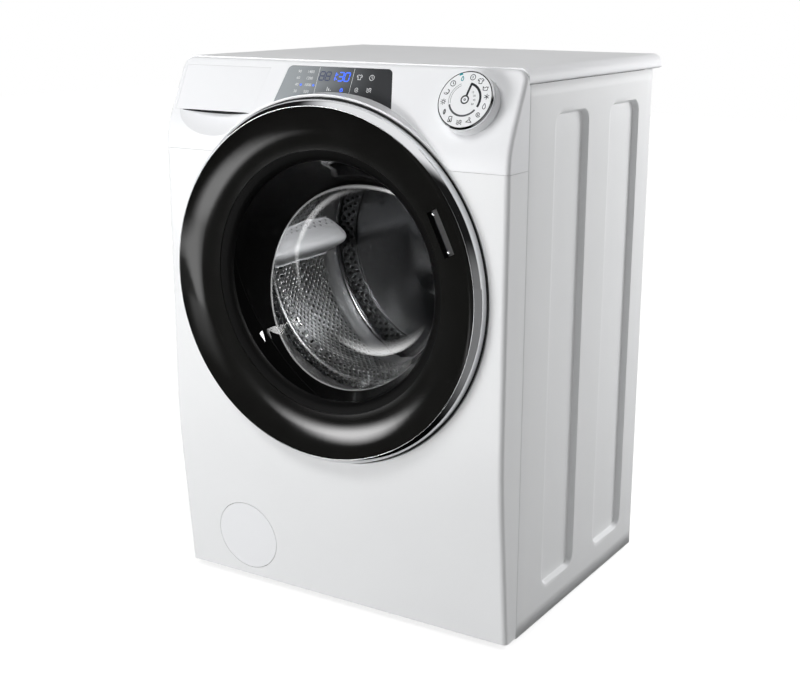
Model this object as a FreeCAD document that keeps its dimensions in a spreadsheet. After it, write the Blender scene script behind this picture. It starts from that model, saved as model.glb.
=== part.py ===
"""Front-loading washer dryer: an assembly of separate pieces in millimetres.

X runs across the machine, Y from the front to the back, Z up. The origin lies on the floor, in the
middle of the box round the whole machine. "Depth" below means the distance behind the flat front.
"""
import FreeCAD, Part
import math
import os
import re

import Sketcher

# Driving dimensions: name, value in millimetres or degrees, what it measures
SIZE_ROWS = [
    # Cabinet
    ("width", 600, "cabinet across the side panels"),
    ("height", 850, "floor to the top of the worktop"),
    ("body_depth", 530, "flat front to the rear edge of the worktop"),
    ("door_projection", 22, "door rim ahead of the flat front"),
    ("return_depth", 58, "flat front to the front edge of the side panels"),
    ("side_depth", 436, "side panels, front edge to rear edge"),
    ("side_bottom", 10, "lower edge of the side panels above the floor"),
    ("sheet", 1, "sheet steel of the cabinet"),
    ("seam_gap", 0.4, "open seam between outer panels"),
    ("seat_gap", 0.3, "clearance where pieces seat on each other"),
    ("overcut", 1, "cuts run this far past a face"),
    ("weld", 0.2, "features of one piece overlap by this"),
    ("flange", 10, "inward flanges of the side panels"),
    ("recess_depth", 10, "pressed recesses in the side panels"),
    ("recess_slope", 5, "width of a recess's steep wall"),
    ("recess_wall", 0.5, "a recess's steep wall, across the sheet"),
    ("recess_width", 108, "recess across its mouth"),
    ("recess_first", 86, "front edge of the side panel to the first recess"),
    ("recess_second", 275, "front edge of the side panel to the second recess"),
    ("recess_bottom", 60, "lower end of the recesses"),
    ("recess_drop", 66, "upper end of the recesses below the worktop's top"),
    ("recess_corner", 20, "corner radius of a recess's mouth"),
    ("worktop_thickness", 22, "worktop"),
    ("worktop_round", 16, "rounding of the worktop's upper long edges"),
    ("worktop_under_round", 4, "rounding of the worktop's lower long edges"),
    ("rail_height", 17, "cross rails under the worktop"),
    ("rail_width", 30, "cross rails, front to back"),
    ("rail_sheet", 2, "cross rails' sheet"),
    ("front_rail_depth", 62, "front edge of the front rail"),
    ("spring_depth", 345, "depth of the hanging springs"),
    ("base_bottom", 12, "underside of the base pan"),
    ("base_height", 36, "base pan"),
    ("base_wall", 3, "base pan's floor and walls"),
    ("foot_radius", 20, "foot pad"),
    ("foot_pad", 6, "height of a foot pad"),
    ("foot_stem", 5, "radius of a foot's threaded stem"),
    ("foot_stem_top", 40, "upper end of a foot's stem"),
    ("foot_nut", 10, "half width of a foot's lock nut"),
    ("foot_inset_x", 48, "foot centre from the side"),
    ("foot_inset_y", 46, "foot centre from the base pan's front and rear edges"),
    ("foot_running", 0.1, "stem clearance in the base pan"),
    ("foot_boss", 12, "boss round a foot's stem"),
    ("foot_boss_height", 22, "boss round a foot's stem"),
    # Front panel and its door well
    ("front_bottom", 12, "lower edge of the front panel"),
    ("front_wall", 1.2, "front panel sheet"),
    ("front_corner", 8, "rounding of the front panel's upright corners"),
    ("toe_slope", 5.8, "lean of the lower front, degrees"),
    ("toe_drop", 255, "meeting of leaning and flat front below the door axis"),
    ("toe_bend_radius", 1125, "blend between leaning and flat front"),
    ("seam_drop", 138, "seam between front panel and fascia below the worktop's top"),
    ("door_drop", 322, "door and drum axis below the worktop's top"),
    ("well_radius", 275, "round well behind the door"),
    ("well_depth", 12, "depth of the door well"),
    ("hatch_radius", 192, "loading hatch"),
    ("hatch_lip", 13, "lip of the hatch, behind the well floor"),
    ("filter_inset", 126, "filter opening's middle from the cabinet's side"),
    ("filter_z", 84, "filter opening, height"),
    ("filter_radius", 58, "filter opening"),
    ("flap_gap", 0.8, "gap round the filter flap"),
    ("flap_thickness", 2.5, "filter flap"),
    ("flap_hook_half", 5, "half width of the flap's hook"),
    ("flap_hook", 2, "flap's hook, front to back"),
    ("flap_hook_reach", 2.4, "flap's hook below the opening's edge"),
    ("flap_hook_height", 12, "flap's hook"),
    ("pin_running", 0.05, "clearance round hinge pins"),
    # Fascia
    ("fascia_wall", 2.5, "fascia moulding"),
    ("fascia_corner", 7, "rounding of the fascia's front edges"),
    ("fascia_top_corner", 18, "fascia's upper corners seen from the front"),
    ("fascia_top", 2, "fascia's upper edge below the worktop's top"),
    ("fascia_lip", 3, "fascia's upper edge, front to back"),
    ("fascia_tilt", 26, "lean of the control face, degrees"),
    ("brow_drop", 135, "start of the fascia's curve below the worktop's top"),
    ("brow_radius", 114, "blend between flat front and control face"),
    ("collar_gap", 0.3, "collar outside the door well"),
    ("collar_wall", 1.6, "collar round the top of the door"),
    ("collar_depth", 35, "collar, front to back"),
    ("lens_top", 85, "display lens, upper edge up the control face"),
    ("lens_half_top", 90, "half width of the display at the top"),
    ("lens_half_bottom", 104, "half width of the display at its lower corners"),
    ("lens_x", -4, "display's middle"),
    ("lens_arc", 252, "radius of the display's lower edge"),
    ("lens_corner", 9, "upper corners of the display"),
    ("lens_gap", 0.25, "gap round the display lens"),
    ("lens_collar_gap", 0.5, "display lens above the collar"),
    ("lens_inset", 0.1, "display lens below the control face"),
    ("board_low", 48, "lower edge of the control board's box"),
    ("board_high", 65, "upper edge of the control board's box"),
    ("board_half", 112, "half width of the control board's box"),
    ("board_depth", 13, "control board's box"),
    ("board_round", 4.5, "corners of the control board's box"),
    ("dial_inset", 74, "dial centre from the cabinet's side"),
    ("dial_up", 38, "dial centre up the control face"),
    ("dial_skirt", 43.5, "dial at its foot"),
    ("dial_shoulder", 42.8, "dial under its ring"),
    ("dial_face", 39.5, "dial's face inside the ring"),
    ("dial_ring_edge", 42.4, "dial ring"),
    ("dial_ring_bevel", 1.4, "bevel of the dial ring across"),
    ("dial_ring_bevel_height", 2, "bevel of the dial ring"),
    ("dial_ring_drop", 0.4, "dial ring below the dial's face"),
    ("dial_lift", 0.6, "dial off the control face"),
    ("dial_skirt_up", 2.4, "top of the dial's upright skirt"),
    ("dial_shoulder_up", 15, "dial shoulder off the control face"),
    ("dial_height", 21, "dial face off the control face"),
    ("dial_shaft", 4, "radius of the dial's shaft"),
    ("dial_shaft_length", 14, "dial shaft behind the control face"),
    ("dial_running", 0.1, "clearance round the dial shaft"),
    # Detergent drawer
    ("drawer_inset", 11, "drawer front's left edge from the cabinet's side"),
    ("drawer_right_low", -143, "drawer front, right edge at the bottom"),
    ("drawer_right_high", -128, "drawer front, right edge at the top"),
    ("drawer_low_drop", 78.4, "drawer front's lower edge below the worktop's top"),
    ("drawer_high_drop", 14, "drawer front's upper edge below the worktop's top"),
    ("drawer_gap", 0.6, "gap round the drawer front"),
    ("drawer_front_wall", 6, "drawer front, front to back"),
    ("scoop_radius", 182.4, "ball that shapes the grip scoop"),
    ("scoop_ahead", 127, "centre of that ball ahead of the flat front"),
    ("scoop_rise", 13.6, "scoop ball's centre above the worktop's top"),
    ("scoop_shift", 3.25, "scoop's middle right of the drawer's middle"),
    ("scoop_margin", 1, "block round the scoop inside the drawer's width"),
    ("scoop_block_drop", 42.6, "scoop's block below the drawer"),
    ("scoop_block_low_depth", 14, "back of that block at its lower end"),
    ("scoop_block_high_depth", 36, "back of that block at its upper end"),
    ("scoop_skin", 1, "block starts this far inside the outer face"),
    ("tray_inset", 3.5, "tray's left wall inside the drawer's edge"),
    ("tray_right_inset", 0.2, "tray's right wall inside the drawer's edge"),
    ("tray_height", 31.4, "drawer tray"),
    ("tray_end", 250, "depth of the tray's rear end"),
    ("tray_wall", 3, "drawer tray"),
    ("tray_grip_half", 56, "half width of the finger pocket"),
    ("tray_grip_end", 40, "depth of the finger pocket's rear"),
    ("tray_grip_height", 25.4, "finger pocket"),
    ("tray_split", 0.56, "share of the tray's length in the front chambers"),
    ("housing_start", 44, "dispenser housing, front end"),
    ("housing_end", 300, "dispenser housing, rear end"),
    ("housing_wall", 2.5, "dispenser housing"),
    ("housing_headroom", 3, "free height over the tray"),
    # Door
    ("bezel_inner", 199, "inner edge of the black dish"),
    ("bezel_outer", 262, "outer edge of the black dish"),
    ("bezel_inner_ahead", 1, "inner edge of the dish ahead of the flat front"),
    ("bezel_curve", 113, "hollow curve of the dish"),
    ("bezel_wall", 4, "dish moulding"),
    ("ring_lip", 2.5, "front lip of the chrome ring"),
    ("ring_shoulder", 270.5, "chrome ring at the end of its front facet"),
    ("ring_shoulder_ahead", 14, "that edge ahead of the flat front"),
    ("ring_outer", 272.3, "chrome ring"),
    ("ring_foot", 1.5, "chrome ring ahead of the flat front"),
    ("ring_wall", 4, "chrome ring"),
    ("ring_step", 2, "inside of the ring behind its shoulder"),
    ("ring_notch_half", 38, "half height of the notch behind the ring at the hinge"),
    ("glass_flange", 198.5, "glass flange"),
    ("glass_mouth", 187, "mouth of the glass bowl"),
    ("glass_wall_start", 181, "bowl wall at its front"),
    ("glass_wall_start_depth", 7, "depth there"),
    ("glass_wall_end", 152, "bowl wall at its rear"),
    ("glass_wall_end_depth", 96, "depth there"),
    ("glass_floor_edge", 132, "edge of the bowl's floor"),
    ("glass_floor_edge_depth", 113, "depth there"),
    ("glass_depth", 120, "bowl at its middle"),
    ("glass", 4, "glass thickness"),
    ("glass_mouth_bend", 7, "bend between flange and wall"),
    ("glass_floor_bend", 24, "bend between wall and floor"),
    ("frame_outer", 266, "inner door frame"),
    ("frame_front", 1, "depth of the frame's front"),
    ("frame_back", 8.5, "depth of the frame's back"),
    ("frame_lip", 190.5, "frame's lip over the glass flange"),
    ("hinge_x", -262, "door hinge, sideways"),
    ("hinge_ahead", 8, "door hinge ahead of the flat front"),
    ("hinge_pin", 2.5, "radius of the hinge pin"),
    ("hinge_knuckle", 5.5, "radius of the hinge knuckle"),
    ("hinge_knuckle_half", 16, "half height of the knuckle"),
    ("hinge_arm_gap", 1, "knuckle to bracket arm"),
    ("hinge_arm_height", 12, "bracket arm"),
    ("hinge_arm_half", 3, "half width of a bracket arm"),
    ("hinge_plate", 1.5, "bracket plate on the well floor"),
    ("hinge_plate_side", 6, "bracket plate beyond its arms"),
    ("hinge_notch", 16, "notch in the door frame, from the hinge"),
    ("hinge_leaf", 2.8, "door leaf of the hinge"),
    ("hinge_leaf_end", -227, "far end of the door leaf"),
    ("grip_radius", 221, "middle of the handle slot from the door axis"),
    ("grip_angle", 26, "handle slot above the horizontal, degrees"),
    ("grip_length", 68, "handle slot"),
    ("grip_width", 20, "handle slot across"),
    ("lever_width", 10, "handle lever across"),
    ("lever_thickness", 3, "handle lever"),
    ("lever_gap", 0.6, "gap round the handle lever"),
    ("lever_depth", 1.2, "lever's back ahead of the frame's front"),
    ("lever_pin", 1.3, "radius of the lever's round edge and pins"),
    ("lever_pin_gap", 0.2, "lever's pins ahead of the door frame"),
    ("lever_pin_end", 3, "lever's pins beyond its ends"),
    ("hook_x", 232, "latch hook from the door axis"),
    ("hook_half", 7, "half height of the latch hook"),
    ("hook_boss", 3, "boss round the hook's pivot"),
    ("hook_pin", 1.5, "radius of the hook's pivot pin"),
    ("hook_pin_end", 3, "pivot pin beyond the hook at each end"),
    ("hook_depth", 4.7, "depth of the hook's pivot"),
    ("hook_reach", 36, "depth of the hook's tip"),
    ("hook_width", 5, "hook across"),
    ("hook_barb", 5, "barb of the hook"),
    ("hook_barb_height", 3, "straight side of the barb"),
    ("slot_half_x", 13, "half width of the latch slot"),
    ("slot_half_z", 11, "half height of the latch slot"),
    ("lock_half_x", 19, "half width of the door lock"),
    ("lock_half_z", 34, "half height of the door lock"),
    ("lock_end", 56, "depth of the door lock's rear"),
    ("lock_wall", 4, "rear wall of the door lock"),
    # Gasket, tub and drum
    ("gasket", 3, "rubber of the gasket"),
    ("gasket_neck", 179, "gasket's narrow fold"),
    ("gasket_bead_end", 30, "depth where the gasket leaves the hatch lip"),
    ("gasket_neck_start", 44, "depth where the narrow fold starts"),
    ("gasket_neck_end", 52, "depth where the narrow fold ends"),
    ("gasket_crest_start", 58, "depth where the wide fold starts"),
    ("gasket_crest_end", 66, "depth where the wide fold ends"),
    ("gasket_tail_start", 72, "depth where the rear lip starts"),
    ("gasket_slant", 0.6, "share of half the rubber by which the folds' walls shift"),
    ("gasket_crest", 204, "gasket's wide fold"),
    ("gasket_end", 184, "gasket's rear lip"),
    ("gasket_end_depth", 90, "depth of the gasket's rear lip"),
    ("tub_radius", 262, "tub"),
    ("tub_wall", 4, "tub moulding"),
    ("tub_front_depth", 92, "depth of the tub's front"),
    ("tub_split_depth", 250, "depth of the joint between the tub's halves"),
    ("tub_rear_depth", 440, "depth of the tub's rear"),
    ("tub_flange", 8, "flanges where the tub's halves meet"),
    ("tub_neck", 16, "tub neck ahead of its front"),
    ("tub_corner", 3, "tub's bevelled corners"),
    ("hub_radius", 50, "bearing hub of the tub"),
    ("hub_inside", 44, "bearing hub ahead of the tub's rear"),
    ("hub_outside", 12, "bearing hub behind the tub's rear"),
    ("bearing_radius", 31, "outside of the drum bearings"),
    ("bearing_width", 16, "drum bearings"),
    ("shaft_radius", 15, "drum shaft"),
    ("shaft_running", 0.05, "shaft clearance in its bearings"),
    ("rib_count", 8, "ribs on the tub's rear"),
    ("rib_height", 8, "ribs on the tub's rear"),
    ("rib_width", 4, "ribs on the tub's rear"),
    ("drum_radius", 242, "drum"),
    ("drum_sheet", 1.2, "drum sheet"),
    ("drum_front_depth", 102, "depth of the drum's front"),
    ("drum_hub_gap", 23, "drum's rear ahead of the bearing hub"),
    ("drum_mouth", 172, "drum mouth"),
    ("drum_lip", 7, "rolled lip of the drum mouth"),
    ("lifter_height", 46, "lifters inside the drum"),
    ("lifter_foot", 34, "half width of a lifter at the drum wall"),
    ("lifter_crest", 13, "half width of a lifter's crest"),
    ("lifter_side_curve", 64, "hollow curve of a lifter's sides"),
    ("lifter_crest_curve", 15.6, "rounding of a lifter's crest"),
    ("lifter_start", 116, "front end of the lifters"),
    ("lifter_turn", 90, "degrees from the lowest place to the first lifter, at rest"),
    ("lifter_rear_gap", 7, "lifters' rear ends ahead of the drum's rear"),
    ("spider_hub", 40, "hub of the drum's spider"),
    ("spider_arm_half", 14, "half width of a spider arm"),
    ("spider_tip_half", 8.4, "half width of an arm's tip"),
    ("spider_root", 4, "arm's root inside the hub"),
    ("spider_arm_depth", 13.6, "spider arms, front to back"),
    ("spider_depth", 17, "spider, front to back"),
    ("spider_reach", 226, "spider arms"),
    ("shaft_stub", 6, "shaft behind the drum pulley"),
    ("pulley_radius", 140, "drum pulley"),
    ("pulley_gap", 4, "pulleys behind the bearing hub"),
    ("pulley_width", 16, "pulleys, front to back"),
    ("pulley_rim", 9, "rim of the drum pulley"),
    ("pulley_hub", 28, "hub of the drum pulley"),
    ("pulley_web", 5, "spokes of the drum pulley, front to back"),
    ("spoke_count", 5, "spokes of the drum pulley"),
    ("spoke_half", 11, "half width of a spoke"),
    ("spoke_root", 2, "spokes run this far into hub and rim"),
    ("motor_drop", 363, "motor's axis below the drum axis"),
    ("motor_radius", 66, "motor"),
    ("motor_length", 144, "motor, front to back"),
    ("motor_pulley_gap", 16, "motor ahead of its pulley"),
    ("motor_bevel", 14, "bevelled ends of the motor"),
    ("motor_face", 40, "end faces of the motor"),
    ("motor_seat", 40, "motor shaft inside the motor"),
    ("motor_lug_root", 26, "lugs start this far above the motor's axis"),
    ("motor_lug_long", 36, "motor lugs, front to back"),
    ("motor_shaft", 7, "radius of the motor shaft"),
    ("motor_lug_x", 44, "motor lugs, sideways"),
    ("motor_lug", 12, "half width of a motor lug"),
    ("motor_pulley", 11, "motor pulley"),
    ("motor_pulley_flange", 3, "flanges of the motor pulley"),
    ("motor_pulley_side", 1.5, "motor pulley's flanges, front to back"),
    ("belt", 2.5, "belt thickness"),
    ("belt_gap", 0.4, "belt off its pulleys"),
    ("belt_width", 12, "drive belt"),
    ("weight_inner", 209, "counterweight, inside"),
    ("weight_outer", 256, "counterweight, outside"),
    ("weight_start", 70, "depth of the counterweight's front"),
    ("heater_rod", 3.5, "radius of the wash heater's rod"),
    ("heater_half", 24, "half width of the wash heater"),
    ("heater_start", 140, "front end of the wash heater"),
    ("heater_from_axis", 250, "wash heater below the drum axis"),
    ("spring_inset", 42, "hanging springs from the cabinet's side"),
    ("spring_radius", 13, "hanging springs"),
    ("spring_wire", 3, "wall of a hanging spring"),
    ("ear_rise", 124, "top of the spring ears above the drum axis"),
    ("ear_height", 16, "tub's spring ears"),
    ("ear_start", 234.8, "inner end of a spring ear"),
    ("damper_x", 150, "dampers, sideways"),
    ("damper_depth", 265, "depth of the dampers"),
    ("damper_radius", 16, "damper cylinder"),
    ("damper_rod", 6, "damper rod"),
    ("damper_running", 0.3, "rod clearance in its cylinder"),
    ("damper_top", 172, "upper end of a damper cylinder"),
    ("damper_rod_low", 92, "lower end of a damper rod"),
    ("damper_bore_low", 70, "floor of a damper's bore"),
    ("damper_lug_drop", 228, "underside of the damper lugs below the drum axis"),
    ("damper_lug_height", 11, "tub's damper lugs"),
    ("damper_lug", 11, "half width of a damper lug"),
    # Water, air and supply
    ("fill_x", -200, "fill hose, sideways"),
    ("fill_depth", 180, "depth of the fill hose"),
    ("fill_radius", 17, "fill hose"),
    ("fill_low_rise", 202, "lower end of the fill hose above the drum axis"),
    ("hose_wall", 3, "wall of the hoses"),
    ("sump_depth", 140, "depth of the sump hose"),
    ("sump_radius", 25, "sump hose"),
    ("sump_high_drop", 216, "upper end of the sump hose below the drum axis"),
    ("sump_low", 140, "lower end of the sump hose"),
    ("nozzle_stub", 30, "length of the nozzles into the tub's wall"),
    ("pump_bore", 28, "bore of the filter housing"),
    ("pump_wall", 6, "wall of the filter housing"),
    ("pump_bore_end", 168, "depth of the filter bore's end"),
    ("volute_radius", 24, "impeller chamber"),
    ("volute_end", 188, "depth of the impeller chamber's rear"),
    ("pump_body_end", 194, "depth of the housing's rear"),
    ("pump_motor", 30, "pump motor"),
    ("pump_end", 240, "depth of the pump motor's rear"),
    ("impeller_shaft", 3, "radius of the impeller's shaft"),
    ("impeller_shaft_end", 212, "depth of that shaft's end"),
    ("impeller_radius", 20, "impeller"),
    ("impeller_clear", 2, "impeller off its chamber's ends"),
    ("impeller_vane", 2, "half thickness of an impeller vane"),
    ("impeller_disc", 3, "impeller's back disc"),
    ("vane_count", 4, "impeller vanes"),
    ("pump_foot_start", 70, "front of the pump's foot"),
    ("pump_foot_end", 118, "rear of the pump's foot"),
    ("pump_foot_half", 24, "half width of the pump's foot"),
    ("cap_flange", 33, "filter cap"),
    ("cap_behind_front", 18.8, "filter cap behind the leaning front"),
    ("cap_flange_depth", 8, "filter cap's flange with its running gap"),
    ("cap_plug", 28, "filter cap's plug in its bore"),
    ("cap_running", 0.3, "filter cap in its bore"),
    ("cap_grip", 9, "grip bar ahead of the filter cap"),
    ("cap_grip_half", 4, "half thickness of the grip bar"),
    ("cap_grip_round", 3.6, "rounded ends of the grip bar"),
    ("cap_grip_reach", 25, "half length of the grip bar"),
    ("duct_left", 160, "drying duct, left wall"),
    ("duct_right", 222, "drying duct, right wall"),
    ("duct_low_rise", 220, "drying duct's floor above the drum axis"),
    ("duct_height", 42, "drying duct"),
    ("duct_start", 300, "front end of the drying duct"),
    ("duct_elbow", 24, "duct's drop behind the tub, front to back"),
    ("duct_elbow_rise", 112, "lower end of the duct's drop above the drum axis"),
    ("duct_round", 8, "rounding of the drying duct"),
    ("air_heater_start", 206, "front end of the air heater"),
    ("air_heater_inset", 3, "air heater inside the duct's outline"),
    ("fin_count", 6, "cooling fins on the air heater"),
    ("fin_pitch", 14, "spacing of the fins"),
    ("fin_first", 8, "first fin behind the air heater's front"),
    ("fin_thickness", 2, "fins"),
    ("fan_x", 214, "fan axis, sideways"),
    ("fan_rise", 228, "fan axis above the drum axis"),
    ("fan_radius", 44, "fan housing"),
    ("fan_start", 134, "front of the fan housing"),
    ("fan_end", 205.7, "rear of the fan housing"),
    ("fan_wall", 3, "fan housing"),
    ("fan_back", 6, "rear wall of the fan housing"),
    ("fan_clear", 2, "fan wheel off the rear wall"),
    ("fan_wheel", 36, "fan wheel"),
    ("fan_wheel_length", 40, "fan wheel, front to back"),
    ("fan_shaft", 4, "radius of the fan shaft"),
    ("fan_blade_count", 12, "fan blades"),
    ("fan_blade", 2, "fan blade thickness"),
    ("fan_blade_chord", 10, "fan blade, inside to outside"),
    ("fan_disc", 2, "fan wheel's back disc"),
    ("outlet_half", 17, "half width of the fan's outlet"),
    ("outlet_root", 6, "outlet starts this far inside the fan housing"),
    ("outlet_rise", 173.5, "lower end of the fan's outlet above the drum axis"),
    ("valve_inset", 70, "inlet valve from the cabinet's side"),
    ("valve_drop", 63, "inlet valve below the worktop's top"),
    ("valve_half", 18, "half width of the valve body"),
    ("valve_round", 4.5, "corners of the valve body"),
    ("valve_floor", 8, "solid front of the valve body"),
    ("valve_start", 452, "front of the inlet valve"),
    ("inlet_radius", 13.2, "threaded inlet spigot"),
    ("inlet_neck", 1.8, "plain neck between rear panel and inlet thread"),
    ("inlet_bore", 9, "bore of the inlet spigot"),
    ("inlet_end", 514, "depth of the spigot's end"),
    ("inlet_hose", 8, "inner supply hose"),
    ("gland_inset", 64, "mains gland from the cabinet's side"),
    ("gland_z", 110, "height of the mains gland"),
    ("gland_radius", 13, "mains gland"),
    ("gland_neck", 8, "mains gland in the rear panel"),
    ("gland_bore", 4.5, "bore of the mains gland"),
    ("gland_out", 14, "mains gland behind the rear panel"),
    ("gland_inside", 4, "mains gland inside the rear panel"),
    ("drain_inset", 100, "drain hose opening from the cabinet's side"),
    ("drain_drop", 80, "drain hose opening below the worktop's top"),
    ("drain_radius", 15, "drain hose opening"),
    # Rear
    ("rear_sheet", 1.2, "rear panel sheet"),
    ("rear_low", 58, "lower edge of the rear panel"),
    ("rear_margin", 2, "rear panel inside the cabinet's sides"),
    ("rear_rib", 4, "pressed ribs of the rear panel"),
    ("rear_rib_half", 9, "half width of a pressed rib"),
    ("rear_rib_round", 8, "corners of a pressed rib"),
    ("rear_rib_reach", 190, "half length of a pressed rib"),
    ("rear_rib_low", 130, "height of the lower ribs"),
    ("rear_rib_pitch", 60, "spacing of the ribs"),
    ("service_radius", 172, "service opening in the rear panel"),
    ("cover_radius", 190, "rear cover"),
    ("cover_least", 24, "rear cover, least depth"),
    ("cover_clearance", 4, "rear cover behind the shaft's end"),
    ("cover_sheet", 2, "rear cover"),
    ("cover_crown", 150, "flat of the rear cover"),
    ("transit_x", 205, "transit holes, sideways"),
    ("transit_drop", 178, "lower transit holes below the drum axis"),
    ("transit_rise", 177, "upper transit holes above the drum axis"),
    ("transit_radius", 12, "transit holes"),
    ("transit_cap", 17, "transit caps"),
    ("transit_cap_height", 4, "transit caps"),
    ("transit_bevel", 2, "bevel of the transit caps"),
]

# Sizes that follow from others: name, formula, what it measures
DERIVED_ROWS = [
    ("door_z", "height - door_drop", "height of the door and drum axis"),
    ("seam_z", "height - seam_drop", "seam between front panel and fascia"),
    ("brow_z", "height - brow_drop", "height where the fascia starts to curve back"),
    ("toe_bend_z", "door_z - toe_drop", "height where the leaning front would meet the flat front"),
    ("recess_top", "height - recess_drop", "upper end of the recesses"),
    ("drawer_low", "height - drawer_low_drop", "drawer front, lower edge"),
    ("drawer_high", "height - drawer_high_drop", "drawer front, upper edge"),
    ("drawer_left", "drawer_inset - width / 2", "drawer front, left edge"),
    ("scoop_centre_z", "height + scoop_rise", "height of that ball's centre"),
    ("scoop_x", "(drawer_left + drawer_right_low) / 2 + scoop_shift", "middle of the grip scoop"),
    ("scoop_half", "(drawer_right_low - drawer_left) / 2 - scoop_margin", "half width of the scoop's block"),
    ("scoop_block_low", "drawer_low - scoop_block_drop", "lower end of the block round the scoop"),
    ("tray_left", "drawer_left + tray_inset", "drawer tray, left wall"),
    ("tray_right", "drawer_right_low - tray_right_inset", "drawer tray, right wall"),
    ("tray_top", "drawer_low + tray_height", "drawer tray, upper edge"),
    ("tray_grip_top", "drawer_low + tray_grip_height", "upper end of the finger pocket"),
    ("dial_x", "width / 2 - dial_inset", "dial centre, sideways"),
    ("filter_x", "filter_inset - width / 2", "filter opening, sideways"),
    ("hub_front_depth", "tub_rear_depth - hub_inside", "depth of the hub's front"),
    ("hub_rear_depth", "tub_rear_depth + hub_outside", "depth of the hub's rear"),
    ("drum_rear_depth", "hub_front_depth - drum_hub_gap", "depth of the drum's rear"),
    ("lifter_end", "drum_rear_depth - lifter_rear_gap", "rear end of the lifters"),
    ("pulley_start", "hub_rear_depth + pulley_gap", "depth of the pulleys' front faces"),
    ("shaft_end", "pulley_start + pulley_width + shaft_stub", "depth of the shaft's rear end"),
    ("cover_depth", "max(cover_least; shaft_end + cover_clearance + cover_sheet - return_depth - side_depth)",
     "rear cover, with room for the shaft"),
    ("motor_end", "pulley_start - motor_pulley_gap", "depth of the motor's rear"),
    ("motor_start", "motor_end - motor_length", "depth of the motor's front"),
    ("motor_z", "door_z - motor_drop", "height of the motor's axis"),
    ("spring_x", "width / 2 - spring_inset", "hanging springs, sideways"),
    ("ear_end", "spring_x + spring_radius", "outer end of a spring ear"),
    ("ear_z", "door_z + ear_rise", "top of the tub's spring ears"),
    ("damper_lug_z", "door_z - damper_lug_drop", "underside of the tub's damper lugs"),
    ("damper_lug_top", "damper_lug_z + damper_lug_height", "upper end of the tub's damper lugs"),
    ("fill_low", "door_z + fill_low_rise", "lower end of the fill hose"),
    ("cap_flange_start", "(toe_bend_z - filter_z) * tan(toe_slope) + cap_behind_front",
     "depth of the filter cap's front"),
    ("pump_start", "cap_flange_start + cap_flange_depth", "depth of the filter housing's mouth"),
    ("cap_plug_end", "pump_start + cap_plug", "depth of the filter cap's plug"),
    ("sump_high", "door_z - sump_high_drop", "upper end of the sump hose"),
    ("duct_low", "door_z + duct_low_rise", "drying duct, floor"),
    ("duct_high", "duct_low + duct_height", "drying duct, top"),
    ("duct_elbow_low", "door_z + duct_elbow_rise", "lower end of the duct's drop"),
    ("fan_z", "door_z + fan_rise", "height of the fan axis"),
    ("outlet_low", "door_z + outlet_rise", "lower end of the fan's outlet"),
    ("valve_x", "valve_inset - width / 2", "inlet valve, sideways"),
    ("valve_z", "height - valve_drop", "height of the inlet valve"),
    ("gland_x", "width / 2 - gland_inset", "mains gland, sideways"),
    ("drain_x", "width / 2 - drain_inset", "drain hose opening, sideways"),
    ("drain_z", "height - drain_drop", "height of the drain hose opening"),
    ("transit_low", "door_z - transit_drop", "lower transit holes"),
    ("transit_high", "door_z + transit_rise", "upper transit holes"),
]

DOCUMENT = FreeCAD.newDocument("WasherDryer")
SHEET = DOCUMENT.addObject("Spreadsheet::Sheet", "Sizes")
NAMES = {row[0] for row in SIZE_ROWS + DERIVED_ROWS}
NODES = []
NEAR = 0.01
LONG_EDGE = 5
LIFTER_COUNT = 3

# Places worked out from the sizes
FRONT = "((door_projection - body_depth) / 2)"
SEAM = f"({FRONT} + return_depth)"
REAR = f"({SEAM} + side_depth)"
SIDE = "(width / 2)"
WORKTOP_LOW = "(height - worktop_thickness)"
RAIL_TOP = f"({WORKTOP_LOW} - seam_gap)"
RAIL_LOW = f"({RAIL_TOP} - rail_height)"
BASE_FLOOR = "(base_bottom + base_wall)"
WELL_OUTSIDE = "(well_radius + front_wall)"
COLLAR_INSIDE = f"({WELL_OUTSIDE} + collar_gap)"
FACE_DEPTH = "(brow_radius * (1 - cos(fascia_tilt)))"
FACE_Z = "(brow_z + brow_radius * sin(fascia_tilt))"
FASCIA_TOP = "(height - fascia_top)"
FASCIA_BACK = f"({FACE_DEPTH} + ({FASCIA_TOP} - {FACE_Z}) * tan(fascia_tilt) + fascia_lip)"
TRAY_LOW = "drawer_low"
HOUSING_TOP = "(tray_top + housing_headroom)"
REAR_DEPTH = "(return_depth + side_depth)"


def fill_sheet():
    """Write every dimension into the sheet, with its name as the cell's alias."""
    formulas = [(name, f"={formula}", note) for name, formula, note in DERIVED_ROWS]
    for row, (name, size, note) in enumerate(SIZE_ROWS + formulas, start=1):
        SHEET.set(f"A{row}", name)
        SHEET.set(f"B{row}", str(size))
        SHEET.set(f"C{row}", note)
        SHEET.setAlias(f"B{row}", name)
    DOCUMENT.recompute()


def cell(text):
    """Turn size names in an expression into references to the sheet."""
    def refer(match):
        word = match.group(0)
        return f"Sizes.{word}" if word in NAMES else word
    return re.sub(r"[a-z_]+", refer, str(text))


def value(text):
    """Number that an expression has now."""
    return float(SHEET.evalExpression(cell(text)))


def bind(thing, prop, text):
    """Tie one property to an expression in the sheet's names."""
    thing.setExpression(prop, cell(text))


def deep(text):
    """Y of a place given by its depth behind the flat front."""
    return f"({FRONT} + {text})"


def slope_y(z_text):
    """Y of the leaning lower front at a height."""
    return f"({FRONT} + (toe_bend_z - ({z_text})) * tan(toe_slope))"


def face_depth(z_text):
    """Depth of the control face at a height."""
    return f"({FACE_DEPTH} + (({z_text}) - {FACE_Z}) * tan(fascia_tilt))"


def place(thing, x="0", y="0", z="0"):
    """Tie a piece's place to the sheet."""
    for axis, text in zip("xyz", (x, y, z)):
        bind(thing, f"Placement.Base.{axis}", text)


def node(thing, label):
    """Give a finished piece its name and keep it for writing."""
    thing.Label = label
    NODES.append(thing)
    return thing


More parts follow.
